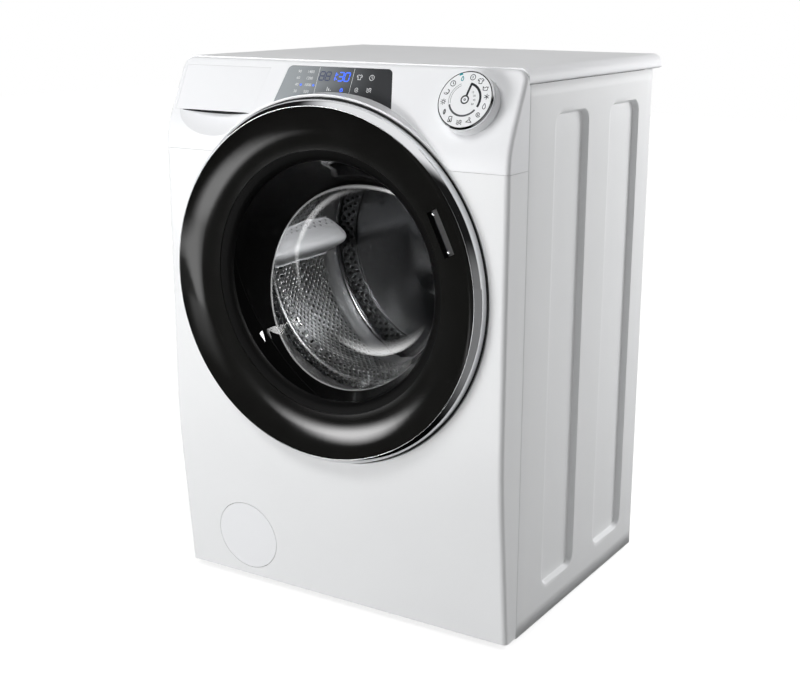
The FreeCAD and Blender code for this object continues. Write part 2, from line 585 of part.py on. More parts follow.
def new_body(x="0", y="0", z="0"):
    """Empty body with a bound place."""
    body = DOCUMENT.addObject("PartDesign::Body", "Body")
    place(body, x, y, z)
    return body


def face_body(x="0", up="0"):
    """Body whose XY plane lies on the tilted control face, with Z pointing out of it."""
    body = new_body(x, f"{deep(FACE_DEPTH)} + ({up}) * sin(fascia_tilt)",
                    f"{FACE_Z} + ({up}) * cos(fascia_tilt)")
    body.Placement.Rotation = FreeCAD.Rotation(FreeCAD.Vector(1, 0, 0), 90 - value("fascia_tilt"))
    bind(body, "Placement.Rotation.Angle", "90 - fascia_tilt")
    return body


def plane_of(body, role):
    """One of a body's own origin planes."""
    return next(item for item in body.Origin.OriginFeatures if item.Role == role)


def lock_point(sketch, geometry, end, corner):
    """Hold one end of a line or arc at the place given by two expressions."""
    for kind, text in zip(("DistanceX", "DistanceY"), corner):
        index = sketch.addConstraint(Sketcher.Constraint(kind, -1, 1, geometry, end, value(text)))
        sketch.setExpression(f"Constraints[{index}]", cell(text))


def draw_circle(sketch, loop):
    """Circle given as a tuple: "circle", centre u, centre v, radius."""
    _, u, v, radius = loop
    centre = FreeCAD.Vector(value(u), value(v), 0)
    up = FreeCAD.Vector(0, 0, 1)
    index = sketch.addGeometry(Part.Circle(centre, up, value(radius)), False)
    lock_point(sketch, index, 3, (u, v))
    size = sketch.addConstraint(Sketcher.Constraint("Radius", index, value(radius)))
    sketch.setExpression(f"Constraints[{size}]", cell(radius))


def arc_middle(start, end, radius):
    """Middle of the short arc from start to end; a radius under 0 turns to the right."""
    chord = end - start
    half = chord.Length / 2
    sag = abs(radius) - math.sqrt(max(radius * radius - half * half, 0))
    outward = FreeCAD.Vector(chord.y, -chord.x, 0).normalize()
    return (start + end) * 0.5 + outward * (sag if radius > 0 else -sag)


def draw_loop(sketch, corners, closed=True):
    """Outline through corners (u, v); a corner (u, v, radius) is reached by an arc."""
    points = [FreeCAD.Vector(value(corner[0]), value(corner[1]), 0) for corner in corners]
    ends = []
    for index in range(0 if closed else 1, len(corners)):
        start, end = points[index - 1], points[index]
        if len(corners[index]) == 2:
            piece = sketch.addGeometry(Part.LineSegment(start, end), False)
            ends.append((piece, 1, 2))
            continue
        radius = corners[index][2]
        middle = arc_middle(start, end, value(radius))
        piece = sketch.addGeometry(Part.Arc(start, middle, end), False)
        ends.append((piece, 1, 2) if value(radius) > 0 else (piece, 2, 1))
        size = sketch.addConstraint(Sketcher.Constraint("Radius", piece, abs(value(radius))))
        sketch.setExpression(f"Constraints[{size}]", cell(f"abs({radius})"))
    if not closed:
        lock_point(sketch, ends[0][0], ends[0][1], corners[0][:2])
    for index, (piece, _, last) in enumerate(ends):
        lock_point(sketch, piece, last, corners[index if closed else index + 1][:2])
        if closed or index + 1 < len(ends):
            following, first, _ = ends[(index + 1) % len(ends)]
            sketch.addConstraint(Sketcher.Constraint("Coincident", piece, last, following, first))


def outline(body, role, offset, loops):
    """Sketch on one of the body's own planes, moved along that plane's normal."""
    sketch = body.newObject("Sketcher::SketchObject", "Outline")
    sketch.AttachmentSupport = [(plane_of(body, role), "")]
    sketch.MapMode = "FlatFace"
    bind(sketch, "AttachmentOffset.Base.z", offset)
    for loop in loops:
        if loop[0] == "circle":
            draw_circle(sketch, loop)
        else:
            draw_loop(sketch, loop)
    return sketch


def extrude(body, kind, sketch, length, both, back):
    """Pad or pocket of a sketch, to one side or both."""
    feature = body.newObject(f"PartDesign::{kind}", kind)
    feature.Profile = sketch
    feature.SideType = "Symmetric" if both else "One side"
    feature.Reversed = back
    bind(feature, "Length", length)
    return feature


def pad(body, role, offset, loops, length, both=False, back=False):
    """Add an extruded outline."""
    return extrude(body, "Pad", outline(body, role, offset, loops), length, both, back)


def pocket(body, role, offset, loops, length, both=False, back=False):
    """Cut an extruded outline, and make sure that it removed something."""
    DOCUMENT.recompute()
    before = body.Shape.Volume
    feature = extrude(body, "Pocket", outline(body, role, offset, loops), length, both, back)
    DOCUMENT.recompute()
    if feature.Shape.Volume >= before:
        raise RuntimeError("a pocket cut nothing")
    return feature


def spin(body, kind, loops, angle="360"):
    """Revolve an outline of the XY plane round the body's Y axis."""
    sketch = outline(body, "XY_Plane", "0", loops)
    feature = body.newObject(f"PartDesign::{kind}", kind)
    feature.Profile = sketch
    feature.ReferenceAxis = (sketch, ["V_Axis"])
    bind(feature, "Angle", angle)
    return feature


def turned(points, x="0", z="door_z"):
    """Body of revolution; points are radius and depth, round an axis along Y."""
    body = new_body(x, FRONT, z)
    spin(body, "Revolution", [points])
    return body


def ring_of(body, feature, count):
    """Repeat a feature evenly round the body's Y axis."""
    pattern = body.newObject("PartDesign::PolarPattern", "PolarPattern")
    pattern.Originals = [feature]
    axis = next(item for item in body.Origin.OriginFeatures if item.Role == "Y_Axis")
    pattern.Axis = (axis, [""])
    pattern.Angle = 360
    bind(pattern, "Occurrences", count)
    body.Tip = pattern
    return pattern


def round_edges(body, feature, radius, chosen):
    """Fillet the edges that a test picks."""
    DOCUMENT.recompute()
    names = [f"Edge{index}" for index, edge in enumerate(feature.Shape.Edges, start=1) if chosen(edge)]
    if not names:
        raise RuntimeError("no edge to round")
    fillet = body.newObject("PartDesign::Fillet", "Fillet")
    fillet.Base = (feature, names)
    bind(fillet, "Radius", radius)
    return fillet


def upright(radius, height, at):
    """Cylinder standing on a point."""
    rod = DOCUMENT.addObject("Part::Cylinder", "Cylinder")
    bind(rod, "Radius", radius)
    bind(rod, "Height", height)
    place(rod, *at)
    return rod


def along_y(radius, length, at):
    """Cylinder that starts at a point and runs back."""
    rod = upright(radius, length, at)
    rod.Placement.Rotation = FreeCAD.Rotation(FreeCAD.Vector(1, 0, 0), -90)
    place(rod, *at)
    return rod


def without(base, tool):
    """One solid less another."""
    cut = DOCUMENT.addObject("Part::Cut", "Cut")
    cut.Base = base
    cut.Tool = tool
    return cut


def group(pieces):
    """Separate solids that share one node."""
    compound = DOCUMENT.addObject("Part::Compound", "Compound")
    compound.Links = list(pieces)
    return compound


def rectangle(left, low, right, high):
    """Corners of a rectangle."""
    return [(left, low), (right, low), (right, high), (left, high)]


def rounded(left, low, right, high, radius):
    """Rectangle with round corners, counterclockwise."""
    r = f"({radius})"
    return [
        (f"{left} + {r}", low, r), (f"{right} - {r}", low),
        (right, f"{low} + {r}", r), (right, f"{high} - {r}"),
        (f"{right} - {r}", high, r), (f"{left} + {r}", high),
        (left, f"{high} - {r}", r), (left, f"{low} + {r}"),
    ]


def is_upright_corner(half_width, deepest):
    """Test for the long front edges at a panel's two sides."""
    def test(edge):
        bounds = edge.BoundBox
        at_side = abs(abs(bounds.Center.x) - half_width) < NEAR and bounds.XLength < NEAR
        return at_side and bounds.ZLength > LONG_EDGE and bounds.Center.y < deepest
    return test


# Cabinet
def side_panel(side, label):
    """Folded sheet with front and rear flanges and two pressed recesses."""
    outer = f"{side} * {SIDE}"
    inner = f"{side} * ({SIDE} - sheet)"
    edge = f"{side} * ({SIDE} - flange)"
    body = new_body()
    section = [
        (outer, SEAM), (outer, REAR), (edge, REAR), (edge, f"{REAR} - sheet"),
        (inner, f"{REAR} - sheet"), (inner, f"{SEAM} + sheet"), (edge, f"{SEAM} + sheet"), (edge, SEAM),
    ]
    pad(body, "XY_Plane", "side_bottom", [section], f"{WORKTOP_LOW} - side_bottom")
    for kind, plane in (("AdditiveLoft", f"{SIDE} - sheet"), ("SubtractiveLoft", SIDE)):
        for start in ("recess_first", "recess_second"):
            press(body, kind, side, plane, start, "recess_wall" if kind == "AdditiveLoft" else "0")
    return node(body, label)


def press(body, kind, side, plane, start, wall):
    """One recess: from its mouth in the sheet to a smaller floor, with the steep wall drawn thinner."""
    left = f"({SEAM} + {start})"
    right = f"({SEAM} + {start} + recess_width)"
    outlines = []
    for inset in (f"(0 - {wall})", f"(recess_slope - {wall})"):
        outlines.append(rounded(f"({left} + {inset})", f"(recess_bottom + {inset})", f"({right} - {inset})",
                                f"(recess_top - {inset})", f"(recess_corner - {inset})"))
    mouth, floor = outlines
    wide = outline(body, "YZ_Plane", f"{side} * ({plane})", [mouth])
    narrow = outline(body, "YZ_Plane", f"{side} * ({plane} - recess_depth)", [floor])
    loft = body.newObject(f"PartDesign::{kind}", kind)
    loft.Profile = wide
    loft.Sections = [narrow]
    loft.Ruled = True
    return loft


def base_pan():
    """Open tray that carries the feet, dampers and pump."""
    half = f"({SIDE} - sheet - seat_gap)"
    front = f"({SEAM} + sheet + seat_gap)"
    rear = f"({REAR} - sheet - seat_gap)"
    body = new_body()
    pad(body, "XY_Plane", "base_bottom", [rectangle(f"-{half}", front, half, rear)], "base_height")
    inside = rectangle(f"base_wall - {half}", f"{front} + base_wall",
                       f"{half} - base_wall", f"{rear} - base_wall")
    pocket(body, "XY_Plane", "base_bottom + base_height", [inside], "base_height - base_wall")
    bosses = [("circle", x, y, "foot_boss") for x, y in foot_places()]
    pad(body, "XY_Plane", "base_bottom", bosses, "foot_boss_height")
    holes = [("circle", x, y, "foot_stem + foot_running") for x, y in foot_places()]
    pocket(body, "XY_Plane", "base_bottom", holes, "base_height", back=True)
    return node(body, "base_pan")


def foot_places():
    """Centres of the four feet."""
    left, right = f"(foot_inset_x - {SIDE})", f"({SIDE} - foot_inset_x)"
    front, rear = f"({SEAM} + foot_inset_y)", f"({REAR} - foot_inset_y)"
    return [(left, front), (right, front), (left, rear), (right, rear)]


def feet():
    """Four levelling feet: pad, lock nut and threaded stem."""
    pieces = []
    for x, y in foot_places():
        body = new_body(x, y)
        pad(body, "XY_Plane", "0", [("circle", "0", "0", "foot_radius")], "foot_pad")
        corners = [(f"foot_nut / cos(30) * cos({60 * k})", f"foot_nut / cos(30) * sin({60 * k})")
                   for k in range(6)]
        pad(body, "XY_Plane", "foot_pad", [corners], "base_bottom - foot_pad")
        pad(body, "XY_Plane", "foot_pad", [("circle", "0", "0", "foot_stem")], "foot_stem_top - foot_pad")
        pieces.append(body)
    return node(group(pieces), "feet")


def front_section(wall, bottom, top, back):
    """Upright section of the front: flat above, leaning back towards the floor."""
    tangent = "(toe_bend_radius * tan(toe_slope / 2))"
    face = f"({FRONT} + {wall})"
    foot = f"({face} + (toe_bend_z - ({bottom})) * tan(toe_slope))"
    return [
        (back, bottom), (foot, bottom),
        (f"{face} + {tangent} * sin(toe_slope)", f"toe_bend_z - {tangent} * cos(toe_slope)"),
        (face, f"toe_bend_z + {tangent}", "-toe_bend_radius"), (face, top), (back, top),
    ]


def front_panel():
    """Pressed front with the door well, hatch lip, latch slot and filter opening."""
    body = new_body()
    back = f"({SEAM} - seam_gap)"
    top = "(seam_z - seam_gap / 2)"
    pad(body, "YZ_Plane", "0", [front_section("0", "front_bottom", top, back)], "width", both=True)
    deepest = value(f"({FRONT} + {SEAM}) / 2")
    floor = "(front_bottom + front_wall)"
    inside = front_section("front_wall", floor, f"({top} + overcut)", f"({SEAM} + overcut)")
    hollow = pocket(body, "YZ_Plane", "0", [inside], "width - 2 * front_wall", both=True)
    inner = round_edges(body, hollow, "front_corner - front_wall",
                        is_upright_corner(value(f"{SIDE} - front_wall"), deepest))
    round_edges(body, inner, "front_corner", is_upright_corner(value(SIDE), deepest))
    pad(body, "XZ_Plane", f"-{FRONT}", [("circle", "0", "door_z", WELL_OUTSIDE)],
        "well_depth + front_wall", back=True)
    pocket(body, "XZ_Plane", f"-{FRONT}", [("circle", "0", "door_z", "well_radius")], "well_depth")
    pocket(body, "XZ_Plane", f"-{FRONT}", [("circle", "0", "door_z", "hatch_radius")],
           "well_depth + front_wall + overcut")
    lip = [("circle", "0", "door_z", "hatch_radius + front_wall"), ("circle", "0", "door_z", "hatch_radius")]
    pad(body, "XZ_Plane", f"-{deep('well_depth')}", [lip[0], lip[1]], "front_wall + hatch_lip", back=True)
    slot = rectangle("hook_x - slot_half_x", "door_z - slot_half_z",
                     "hook_x + slot_half_x", "door_z + slot_half_z")
    pocket(body, "XZ_Plane", f"-{FRONT}", [slot], "well_depth + front_wall + overcut")
    opening = ("circle", "filter_x", "filter_z", "filter_radius")
    lean_depth = f"({slope_y('filter_z - filter_radius')} - {FRONT} + front_wall / cos(toe_slope) + overcut)"
    pocket(body, "XZ_Plane", f"-{FRONT}", [opening], lean_depth)
    return node(body, "front_panel")


def filter_flap():
    """Round flap flush with the leaning front; its hook tilts on the opening's lower edge."""
    body = new_body()
    low = "(filter_z - filter_radius - overcut)"
    high = "(filter_z + filter_radius + overcut)"
    slab = [(slope_y(low), low), (slope_y(high), high),
            (f"{slope_y(high)} + flap_thickness", high), (f"{slope_y(low)} + flap_thickness", low)]
    pad(body, "YZ_Plane", "filter_x", [slab], "2 * (filter_radius + overcut)", both=True)
    far = "(filter_radius + 4 * overcut)"
    around = rectangle(f"filter_x - {far}", f"filter_z - {far}", f"filter_x + {far}", f"filter_z + {far}")
    pocket(body, "XZ_Plane", f"-{FRONT}",
           [around, ("circle", "filter_x", "filter_z", "filter_radius - flap_gap")], "return_depth")
    foot = "(filter_z - filter_radius - flap_hook_reach)"
    head = f"({foot} + flap_hook_height)"
    inner, outer = "(flap_thickness - weld)", "(flap_thickness + flap_hook)"
    hook = [(f"{slope_y(foot)} + {inner}", foot), (f"{slope_y(head)} + {inner}", head),
            (f"{slope_y(head)} + {outer}", head), (f"{slope_y(foot)} + {outer}", foot)]
    pad(body, "YZ_Plane", "filter_x", [hook], "2 * flap_hook_half", both=True)
    return node(body, "filter_flap")


def fascia_section(wall, low, top, back):
    """Upright section of the fascia: flat, curved back, then straight up the control face."""
    radius = f"(brow_radius - {wall})"
    bend_depth = f"(brow_radius - {radius} * cos(fascia_tilt))"
    bend_z = f"(brow_z + {radius} * sin(fascia_tilt))"
    top_depth = f"({bend_depth} + ({top} - {bend_z}) * tan(fascia_tilt))"
    return [
        (back, low), (f"{FRONT} + {wall}", low), (f"{FRONT} + {wall}", "brow_z"),
        (deep(bend_depth), bend_z, f"-{radius}"), (deep(top_depth), top),
    ]


def fascia():
    """Moulded control panel: collar over the door, drawer opening, grip scoop, display and dial holes."""
    body = new_body()
    back = f"({SEAM} - seam_gap)"
    low = "(seam_z + seam_gap / 2)"
    shelf = f"({WORKTOP_LOW} - seam_gap)"
    shape = fascia_section("0", low, FASCIA_TOP, back)
    shape += [(deep(FASCIA_BACK), FASCIA_TOP), (deep(FASCIA_BACK), shelf), (back, shelf)]
    pad(body, "YZ_Plane", "0", [shape], "width", both=True)
    shell = round_top_corners(body)
    round_edges(body, shell, "fascia_corner", is_fascia_front)
    ceiling = f"({shelf} - fascia_wall)"
    inside = fascia_section("fascia_wall", f"({low} - overcut)", ceiling, f"({SEAM} + overcut)")
    inside.append((f"({SEAM} + overcut)", ceiling))
    pocket(body, "YZ_Plane", "0", [inside], "width - 2 * fascia_wall", both=True)
    scoop(body)
    pocket(body, "XZ_Plane", f"-{FRONT}", [("circle", "0", "door_z", COLLAR_INSIDE)], "return_depth")
    pad(body, "XZ_Plane", f"-{FRONT}", [collar_arc(low)], "collar_depth", back=True)
    pocket(body, "XZ_Plane", f"-{FRONT}", [drawer_outline("drawer_gap")], "return_depth + overcut")
    return face_holes(body)


def is_fascia_front(edge):
    """Test for the edges round the fascia's outer face."""
    bounds = edge.BoundBox
    front = bounds.Center.y < value(f"{deep(FASCIA_BACK)} - fascia_lip") + NEAR
    at_side = abs(abs(bounds.Center.x) - value(SIDE)) < NEAR and bounds.ZLength > LONG_EDGE
    corner = abs(bounds.Center.x) > value(f"{SIDE} - fascia_top_corner") and bounds.ZLength > LONG_EDGE
    along_top = bounds.XLength > value(SIDE) and abs(bounds.Center.z - value(FASCIA_TOP)) < NEAR
    return front and (at_side or corner or along_top) and bounds.YLength < value("return_depth")


def round_top_corners(body):
    """Take the square upper corners off the fascia, seen from the front."""
    feature = None
    for side in ("-1", "1"):
        edge = f"{side} * {SIDE}"
        inner = f"{side} * ({SIDE} - fascia_top_corner)"
        far = f"{side} * ({SIDE} + overcut)"
        turn = "fascia_top_corner" if side == "1" else "-fascia_top_corner"
        top = f"({FASCIA_TOP} + overcut)"
        corner = [(edge, f"{FASCIA_TOP} - fascia_top_corner"), (inner, FASCIA_TOP, turn),
                  (inner, top), (far, top), (far, f"{FASCIA_TOP} - fascia_top_corner")]
        feature = pocket(body, "XZ_Plane", f"-{FRONT}", [corner], "return_depth + overcut")
    return feature


def collar_arc(low):
    """Arched strip above the seam, round the top of the door."""
    inner, outer = COLLAR_INSIDE, f"({COLLAR_INSIDE} + collar_wall)"
    rise = f"({low} - door_z)"
    reach_in = f"sqrt({inner} * {inner} - {rise} * {rise})"
    reach_out = f"sqrt({outer} * {outer} - {rise} * {rise})"
    return [(f"-{reach_in}", low), ("0", f"door_z + {inner}", f"-{inner}"), (reach_in, low, f"-{inner}"),
            (reach_out, low), ("0", f"door_z + {outer}", outer), (f"-{reach_out}", low, outer)]


def scoop(body):
    """Grip hollow under the drawer front: a block behind the face, hollowed by part of a ball."""
    radius = "(brow_radius - scoop_skin)"
    bend_depth = f"(brow_radius - {radius} * cos(fascia_tilt))"
    bend_z = f"(brow_z + {radius} * sin(fascia_tilt))"
    low, high = "scoop_block_low", "(drawer_low - drawer_gap)"
    rise = f"({low} - brow_z)"
    low_depth = f"(brow_radius - sqrt({radius} * {radius} - {rise} * {rise}))"
    high_depth = f"({bend_depth} + ({high} - {bend_z}) * tan(fascia_tilt))"
    section = [(deep(low_depth), low), (deep(bend_depth), bend_z, f"-{radius}"), (deep(high_depth), high),
               (deep("scoop_block_high_depth"), high), (deep("scoop_block_low_depth"), low)]
    pad(body, "YZ_Plane", "scoop_x", [section], "2 * scoop_half", both=True)
    DOCUMENT.recompute()
    ball = body.newObject("PartDesign::SubtractiveSphere", "Scoop")
    bind(ball, "Radius", "scoop_radius")
    bind(ball, "Angle2", f"-asin((scoop_centre_z - {high}) / scoop_radius)")
    place(ball, "scoop_x", deep("-scoop_ahead"), "scoop_centre_z")


def drawer_outline(gap):
    """Drawer front seen from the front, grown by a gap."""
    return [(f"drawer_left - {gap}", f"drawer_low - {gap}"),
            (f"drawer_right_low + {gap}", f"drawer_low - {gap}"),
            (f"drawer_right_high + {gap}", f"drawer_high + {gap}"),
            (f"drawer_left - {gap}", f"drawer_high + {gap}")]


def face_holes(body):
    """Cut the display opening and the dial's shaft hole square to the control face."""
    tools = face_body()
    through = "2 * (fascia_wall + lens_inset + overcut)"
    pad(tools, "XY_Plane", "0", [lens_outline("lens_gap")], through, both=True)
    shaft = face_body("dial_x", "dial_up")
    pad(shaft, "XY_Plane", "0", [("circle", "0", "0", "dial_shaft + dial_running")],
        "2 * dial_shaft_length", both=True)
    cut = without(without(body, tools), shaft)
    return node(cut, "fascia")


def lens_low(x):
    """Height up the control face at which the display meets the collar, at a place across."""
    outer = f"({COLLAR_INSIDE} + collar_wall + lens_collar_gap)"
    return f"((door_z + sqrt({outer} * {outer} - ({x}) * ({x})) - {FACE_Z}) / cos(fascia_tilt))"


def lens_side(side, gap):
    """Lower corner of one side of the display, and the two ends of its rounded upper corner."""
    half_top, half_low = f"(lens_half_top + {gap})", f"(lens_half_bottom + {gap})"
    x_low = f"(lens_x + {side} * {half_low})"
    low, top = f"({lens_low(x_low)} - {gap})", f"(lens_top + {gap})"
    lean = f"atan(({half_low} - {half_top}) / ({top} - {low}))"
    cut = f"(lens_corner * tan((90 deg - {lean}) / 2))"
    beside = (f"lens_x + {side} * ({half_top} + {cut} * sin({lean}))", f"{top} - {cut} * cos({lean})")
    above = (f"lens_x + {side} * ({half_top} - {cut})", top)
    return (x_low, low), beside, above


def lens_outline(gap):
    """Display on the control face: rounded top corners, lower edge along the door's collar."""
    right_low, right_beside, right_above = lens_side("1", gap)
    left_low, left_beside, left_above = lens_side("-1", gap)
    return [
        right_low + ("-lens_arc",), right_beside, right_above + ("lens_corner",), left_above,
        left_beside + ("lens_corner",), left_low,
    ]


def display_lens():
    """Display window let into the control face."""
    body = face_body()
    pad(body, "XY_Plane", "-lens_inset", [lens_outline("0")], "fascia_wall - lens_inset", back=True)
    return node(body, "display_lens")


def control_board():
    """Box of the control electronics against the back of the control face."""
    body = face_body()
    shape = rounded("lens_x - board_half", "board_low", "lens_x + board_half", "board_high", "board_round")
    pad(body, "XY_Plane", "-fascia_wall", [shape], "board_depth", back=True)
    return node(body, "control_board")


def worktop():
    """Worktop with rounded long edges, behind the fascia's upper edge."""
    body = new_body()
    over, under = "worktop_round", "worktop_under_round"
    low = WORKTOP_LOW
    section = [
        (f"{under} - {SIDE}", low, under), (f"{SIDE} - {under}", low),
        (SIDE, f"{low} + {under}", under), (SIDE, f"height - {over}"),
        (f"{SIDE} - {over}", "height", over), (f"{over} - {SIDE}", "height"),
        (f"-{SIDE}", f"height - {over}", over), (f"-{SIDE}", f"{low} + {under}"),
    ]
    start = f"({FASCIA_BACK} + seam_gap)"
    pad(body, "XZ_Plane", f"-{deep(start)}", [section], f"body_depth - {start}", back=True)
    return node(body, "worktop")


def cross_rails():
    """Two channel rails between the side panels; the rear one carries the springs."""
    half = f"({SIDE} - sheet - seat_gap)"
    pieces = []
    for start in ("front_rail_depth", "(spring_depth - rail_width / 2)"):
        body = new_body()
        low, high = RAIL_LOW, RAIL_TOP
        front, rear = deep(start), f"({deep(start)} + rail_width)"
        section = [(front, low), (front, high), (rear, high), (rear, low),
                   (f"{rear} - rail_sheet", low), (f"{rear} - rail_sheet", f"{high} - rail_sheet"),
                   (f"{front} + rail_sheet", f"{high} - rail_sheet"), (f"{front} + rail_sheet", low)]
        pad(body, "YZ_Plane", "0", [section], f"2 * {half}", both=True)
        pieces.append(body)
    beam = pieces[1]
    for side in ("-1", "1"):
        seat = rectangle(f"{side} * spring_x - spring_radius", deep("spring_depth - spring_radius"),
                         f"{side} * spring_x + spring_radius", deep("spring_depth + spring_radius"))
        pad(beam, "XY_Plane", RAIL_LOW, [seat], "rail_sheet")
    return node(group(pieces), "cross_rails")


def rear_panel():
    """Rear sheet with pressed ribs, service opening and the supply openings."""
    body = new_body()
    half = f"({SIDE} - rear_margin)"
    high = f"({WORKTOP_LOW} - rear_margin)"
    sheet = rectangle(f"-{half}", "rear_low", half, high)
    pad(body, "XZ_Plane", f"-{REAR}", [sheet], "rear_sheet", back=True)
    for row in range(3):
        z = f"(rear_rib_low + {row} * rear_rib_pitch)"
        rib = rounded("-rear_rib_reach", f"({z} - rear_rib_half)", "rear_rib_reach", f"({z} + rear_rib_half)",
                      "rear_rib_round")
        pad(body, "XZ_Plane", f"-{REAR}", [rib], "rear_sheet + rear_rib", back=True)
    holes = [("circle", "0", "door_z", "service_radius")]
    holes += [("circle", x, z, "transit_radius") for x, z in transit_places()]
    holes.append(("circle", "valve_x", "valve_z", "inlet_radius + seat_gap"))
    holes.append(("circle", "gland_x", "gland_z", "gland_neck + seat_gap"))
    holes.append(("circle", "drain_x", "drain_z", "drain_radius"))
    pocket(body, "XZ_Plane", f"-{REAR} + overcut", holes, "rear_sheet + rear_rib + 2 * overcut")
    return node(body, "rear_panel")


def transit_places():
    """Centres of the four transit holes."""
    return [(f"{side} * transit_x", z) for side in (-1, 1) for z in ("transit_low", "transit_high")]


def rear_cover():
    """Dished cover over the pulley."""
    start = f"({REAR_DEPTH} + rear_sheet)"
    floor = f"({start} + cover_depth)"
    inner = "(service_radius - seat_gap)"
    body = turned([
        ("0", f"{floor} - cover_sheet"), ("cover_crown", f"{floor} - cover_sheet"),
        (f"{inner} - cover_sheet", start), ("cover_radius", start),
        ("cover_radius", f"{start} + cover_sheet"),
        (inner, f"{start} + cover_sheet"), (f"cover_crown + cover_sheet", floor), ("0", floor),
    ])
    return node(body, "rear_cover")


def transit_caps():
    """Blanking caps in the transit holes."""
    start = f"({REAR_DEPTH} + rear_sheet)"
    pieces = []
    for x, z in transit_places():
        pieces.append(turned([
            ("0", REAR_DEPTH), ("transit_radius - seat_gap", REAR_DEPTH),
            ("transit_radius - seat_gap", start),
            ("transit_cap", start), ("transit_cap - transit_bevel", f"{start} + transit_cap_height"),
            ("0", f"{start} + transit_cap_height"),
        ], x, z))
    return node(group(pieces), "transit_caps")


def mains_gland():
    """Cable gland in the rear panel."""
    start = f"({REAR_DEPTH} + rear_sheet)"
    body = turned([
        ("gland_bore", f"{REAR_DEPTH} - gland_inside"), ("gland_neck", f"{REAR_DEPTH} - gland_inside"),
        ("gland_neck", start), ("gland_radius", start), ("gland_radius", f"{start} + gland_out / 2"),
        ("gland_neck", f"{start} + gland_out"), ("gland_bore", f"{start} + gland_out"),
    ], "gland_x", "gland_z")
    return node(body, "mains_gland")


# Detergent drawer
def drawer_front():
    """Drawer front: a plate in the control face with its lower edge over the scoop."""
    body = new_body()
    low, high = "drawer_low", "drawer_high"
    slab = [(deep(face_depth(low)), low), (deep(face_depth(high)), high),
            (f"{deep(face_depth(high))} + drawer_front_wall", high),
            (f"{deep(face_depth(low))} + drawer_front_wall", low)]
    pad(body, "YZ_Plane", "drawer_left", [slab], "drawer_right_high - drawer_left")
    beside = [("drawer_right_low", f"{low} - overcut"), ("drawer_right_low", low),
              ("drawer_right_high", high),
              ("drawer_right_high + overcut", f"{high} + overcut"),
              ("drawer_right_high + overcut", f"{low} - overcut")]
    pocket(body, "XZ_Plane", f"-{FRONT}", [beside], "return_depth + drawer_front_wall")
    return node(body, "drawer_front")


def drawer_tray():
    """Open tray with detergent chambers and a finger pocket behind the drawer front."""
    body = new_body()
    low, high = TRAY_LOW, "tray_top"
    start_low = f"{deep(face_depth(low))} + drawer_front_wall"
    start_high = f"{deep(face_depth(high))} + drawer_front_wall"
    section = [(start_low, low), (start_high, high), (deep("tray_end"), high), (deep("tray_end"), low)]
    pad(body, "YZ_Plane", "tray_left", [section], "tray_right - tray_left")
    first = "(tray_grip_end + tray_wall)"
    length = f"(tray_end - tray_wall - {first})"
    split = f"({first} + {length} * tray_split)"
    middle = "((tray_left + tray_right) / 2)"
    chambers = [
        rectangle("tray_left + tray_wall", deep(first), f"{middle} - tray_wall / 2", deep(split)),
        rectangle(f"{middle} + tray_wall / 2", deep(first), "tray_right - tray_wall", deep(split)),
        rectangle("tray_left + tray_wall", f"{deep(split)} + tray_wall", "tray_right - tray_wall",
                  f"{deep('tray_end')} - tray_wall"),
    ]
    pocket(body, "XY_Plane", high, chambers, f"{high} - {low} - tray_wall")
    grip = rectangle("scoop_x - tray_grip_half", deep("0"), "scoop_x + tray_grip_half", deep("tray_grip_end"))
    pocket(body, "XY_Plane", low, [grip], f"tray_grip_top - {low}", back=True)
    return node(body, "drawer_tray")


def dispenser_housing():
    """Box that the tray slides in, open to the front."""
    body = new_body()
    wall = "housing_wall"
    left, right = f"(tray_left - seat_gap - {wall})", f"(tray_right + seat_gap + {wall})"
    low = f"({TRAY_LOW} - seat_gap - {wall})"
    pad(body, "XZ_Plane", f"-{deep('housing_start')}", [rectangle(left, low, right, HOUSING_TOP)],
        "housing_end - housing_start", back=True)
    inside = rectangle(f"{left} + {wall}", f"{low} + {wall}", f"{right} - {wall}", f"{HOUSING_TOP} - {wall}")
    pocket(body, "XZ_Plane", f"-{deep('housing_start')}", [inside], f"housing_end - housing_start - {wall}")
    pocket(body, "XY_Plane", low, [("circle", "fill_x", deep("fill_depth"), "fill_radius - hose_wall")],
           wall, back=True)
    return node(body, "dispenser_housing")


# Dial
def dial():
    """Programme dial: shaft, skirt and white face, turned round the control face's normal."""
    body = face_body("dial_x", "dial_up")
    half = [("0", "-dial_shaft_length"), ("dial_shaft", "-dial_shaft_length"), ("dial_shaft", "dial_lift"),
            ("dial_skirt", "dial_lift"), ("dial_skirt", "dial_skirt_up"),
            ("dial_shoulder", "dial_shoulder_up"),
            ("dial_face", "dial_shoulder_up"), ("dial_face", "dial_height"), ("0", "dial_height")]
    turn_upright(body, half)
    return node(body, "dial")


def dial_ring():
    """Bright ring round the dial's face."""
    body = face_body("dial_x", "dial_up")
    top = "(dial_height - dial_ring_drop)"
    half = [("dial_face", "dial_shoulder_up"), ("dial_ring_edge", "dial_shoulder_up"),
            ("dial_ring_edge", f"{top} - dial_ring_bevel_height"), ("dial_ring_edge - dial_ring_bevel", top),
            ("dial_face", top)]
    turn_upright(body, half)
    return node(body, "dial_ring")


def turn_upright(body, half):
    """Revolve a half section of the XZ plane round the body's Z axis."""
    sketch = outline(body, "XZ_Plane", "0", [half])
    feature = body.newObject("PartDesign::Revolution", "Revolution")
    feature.Profile = sketch
    feature.ReferenceAxis = (sketch, ["V_Axis"])
    feature.Angle = 360


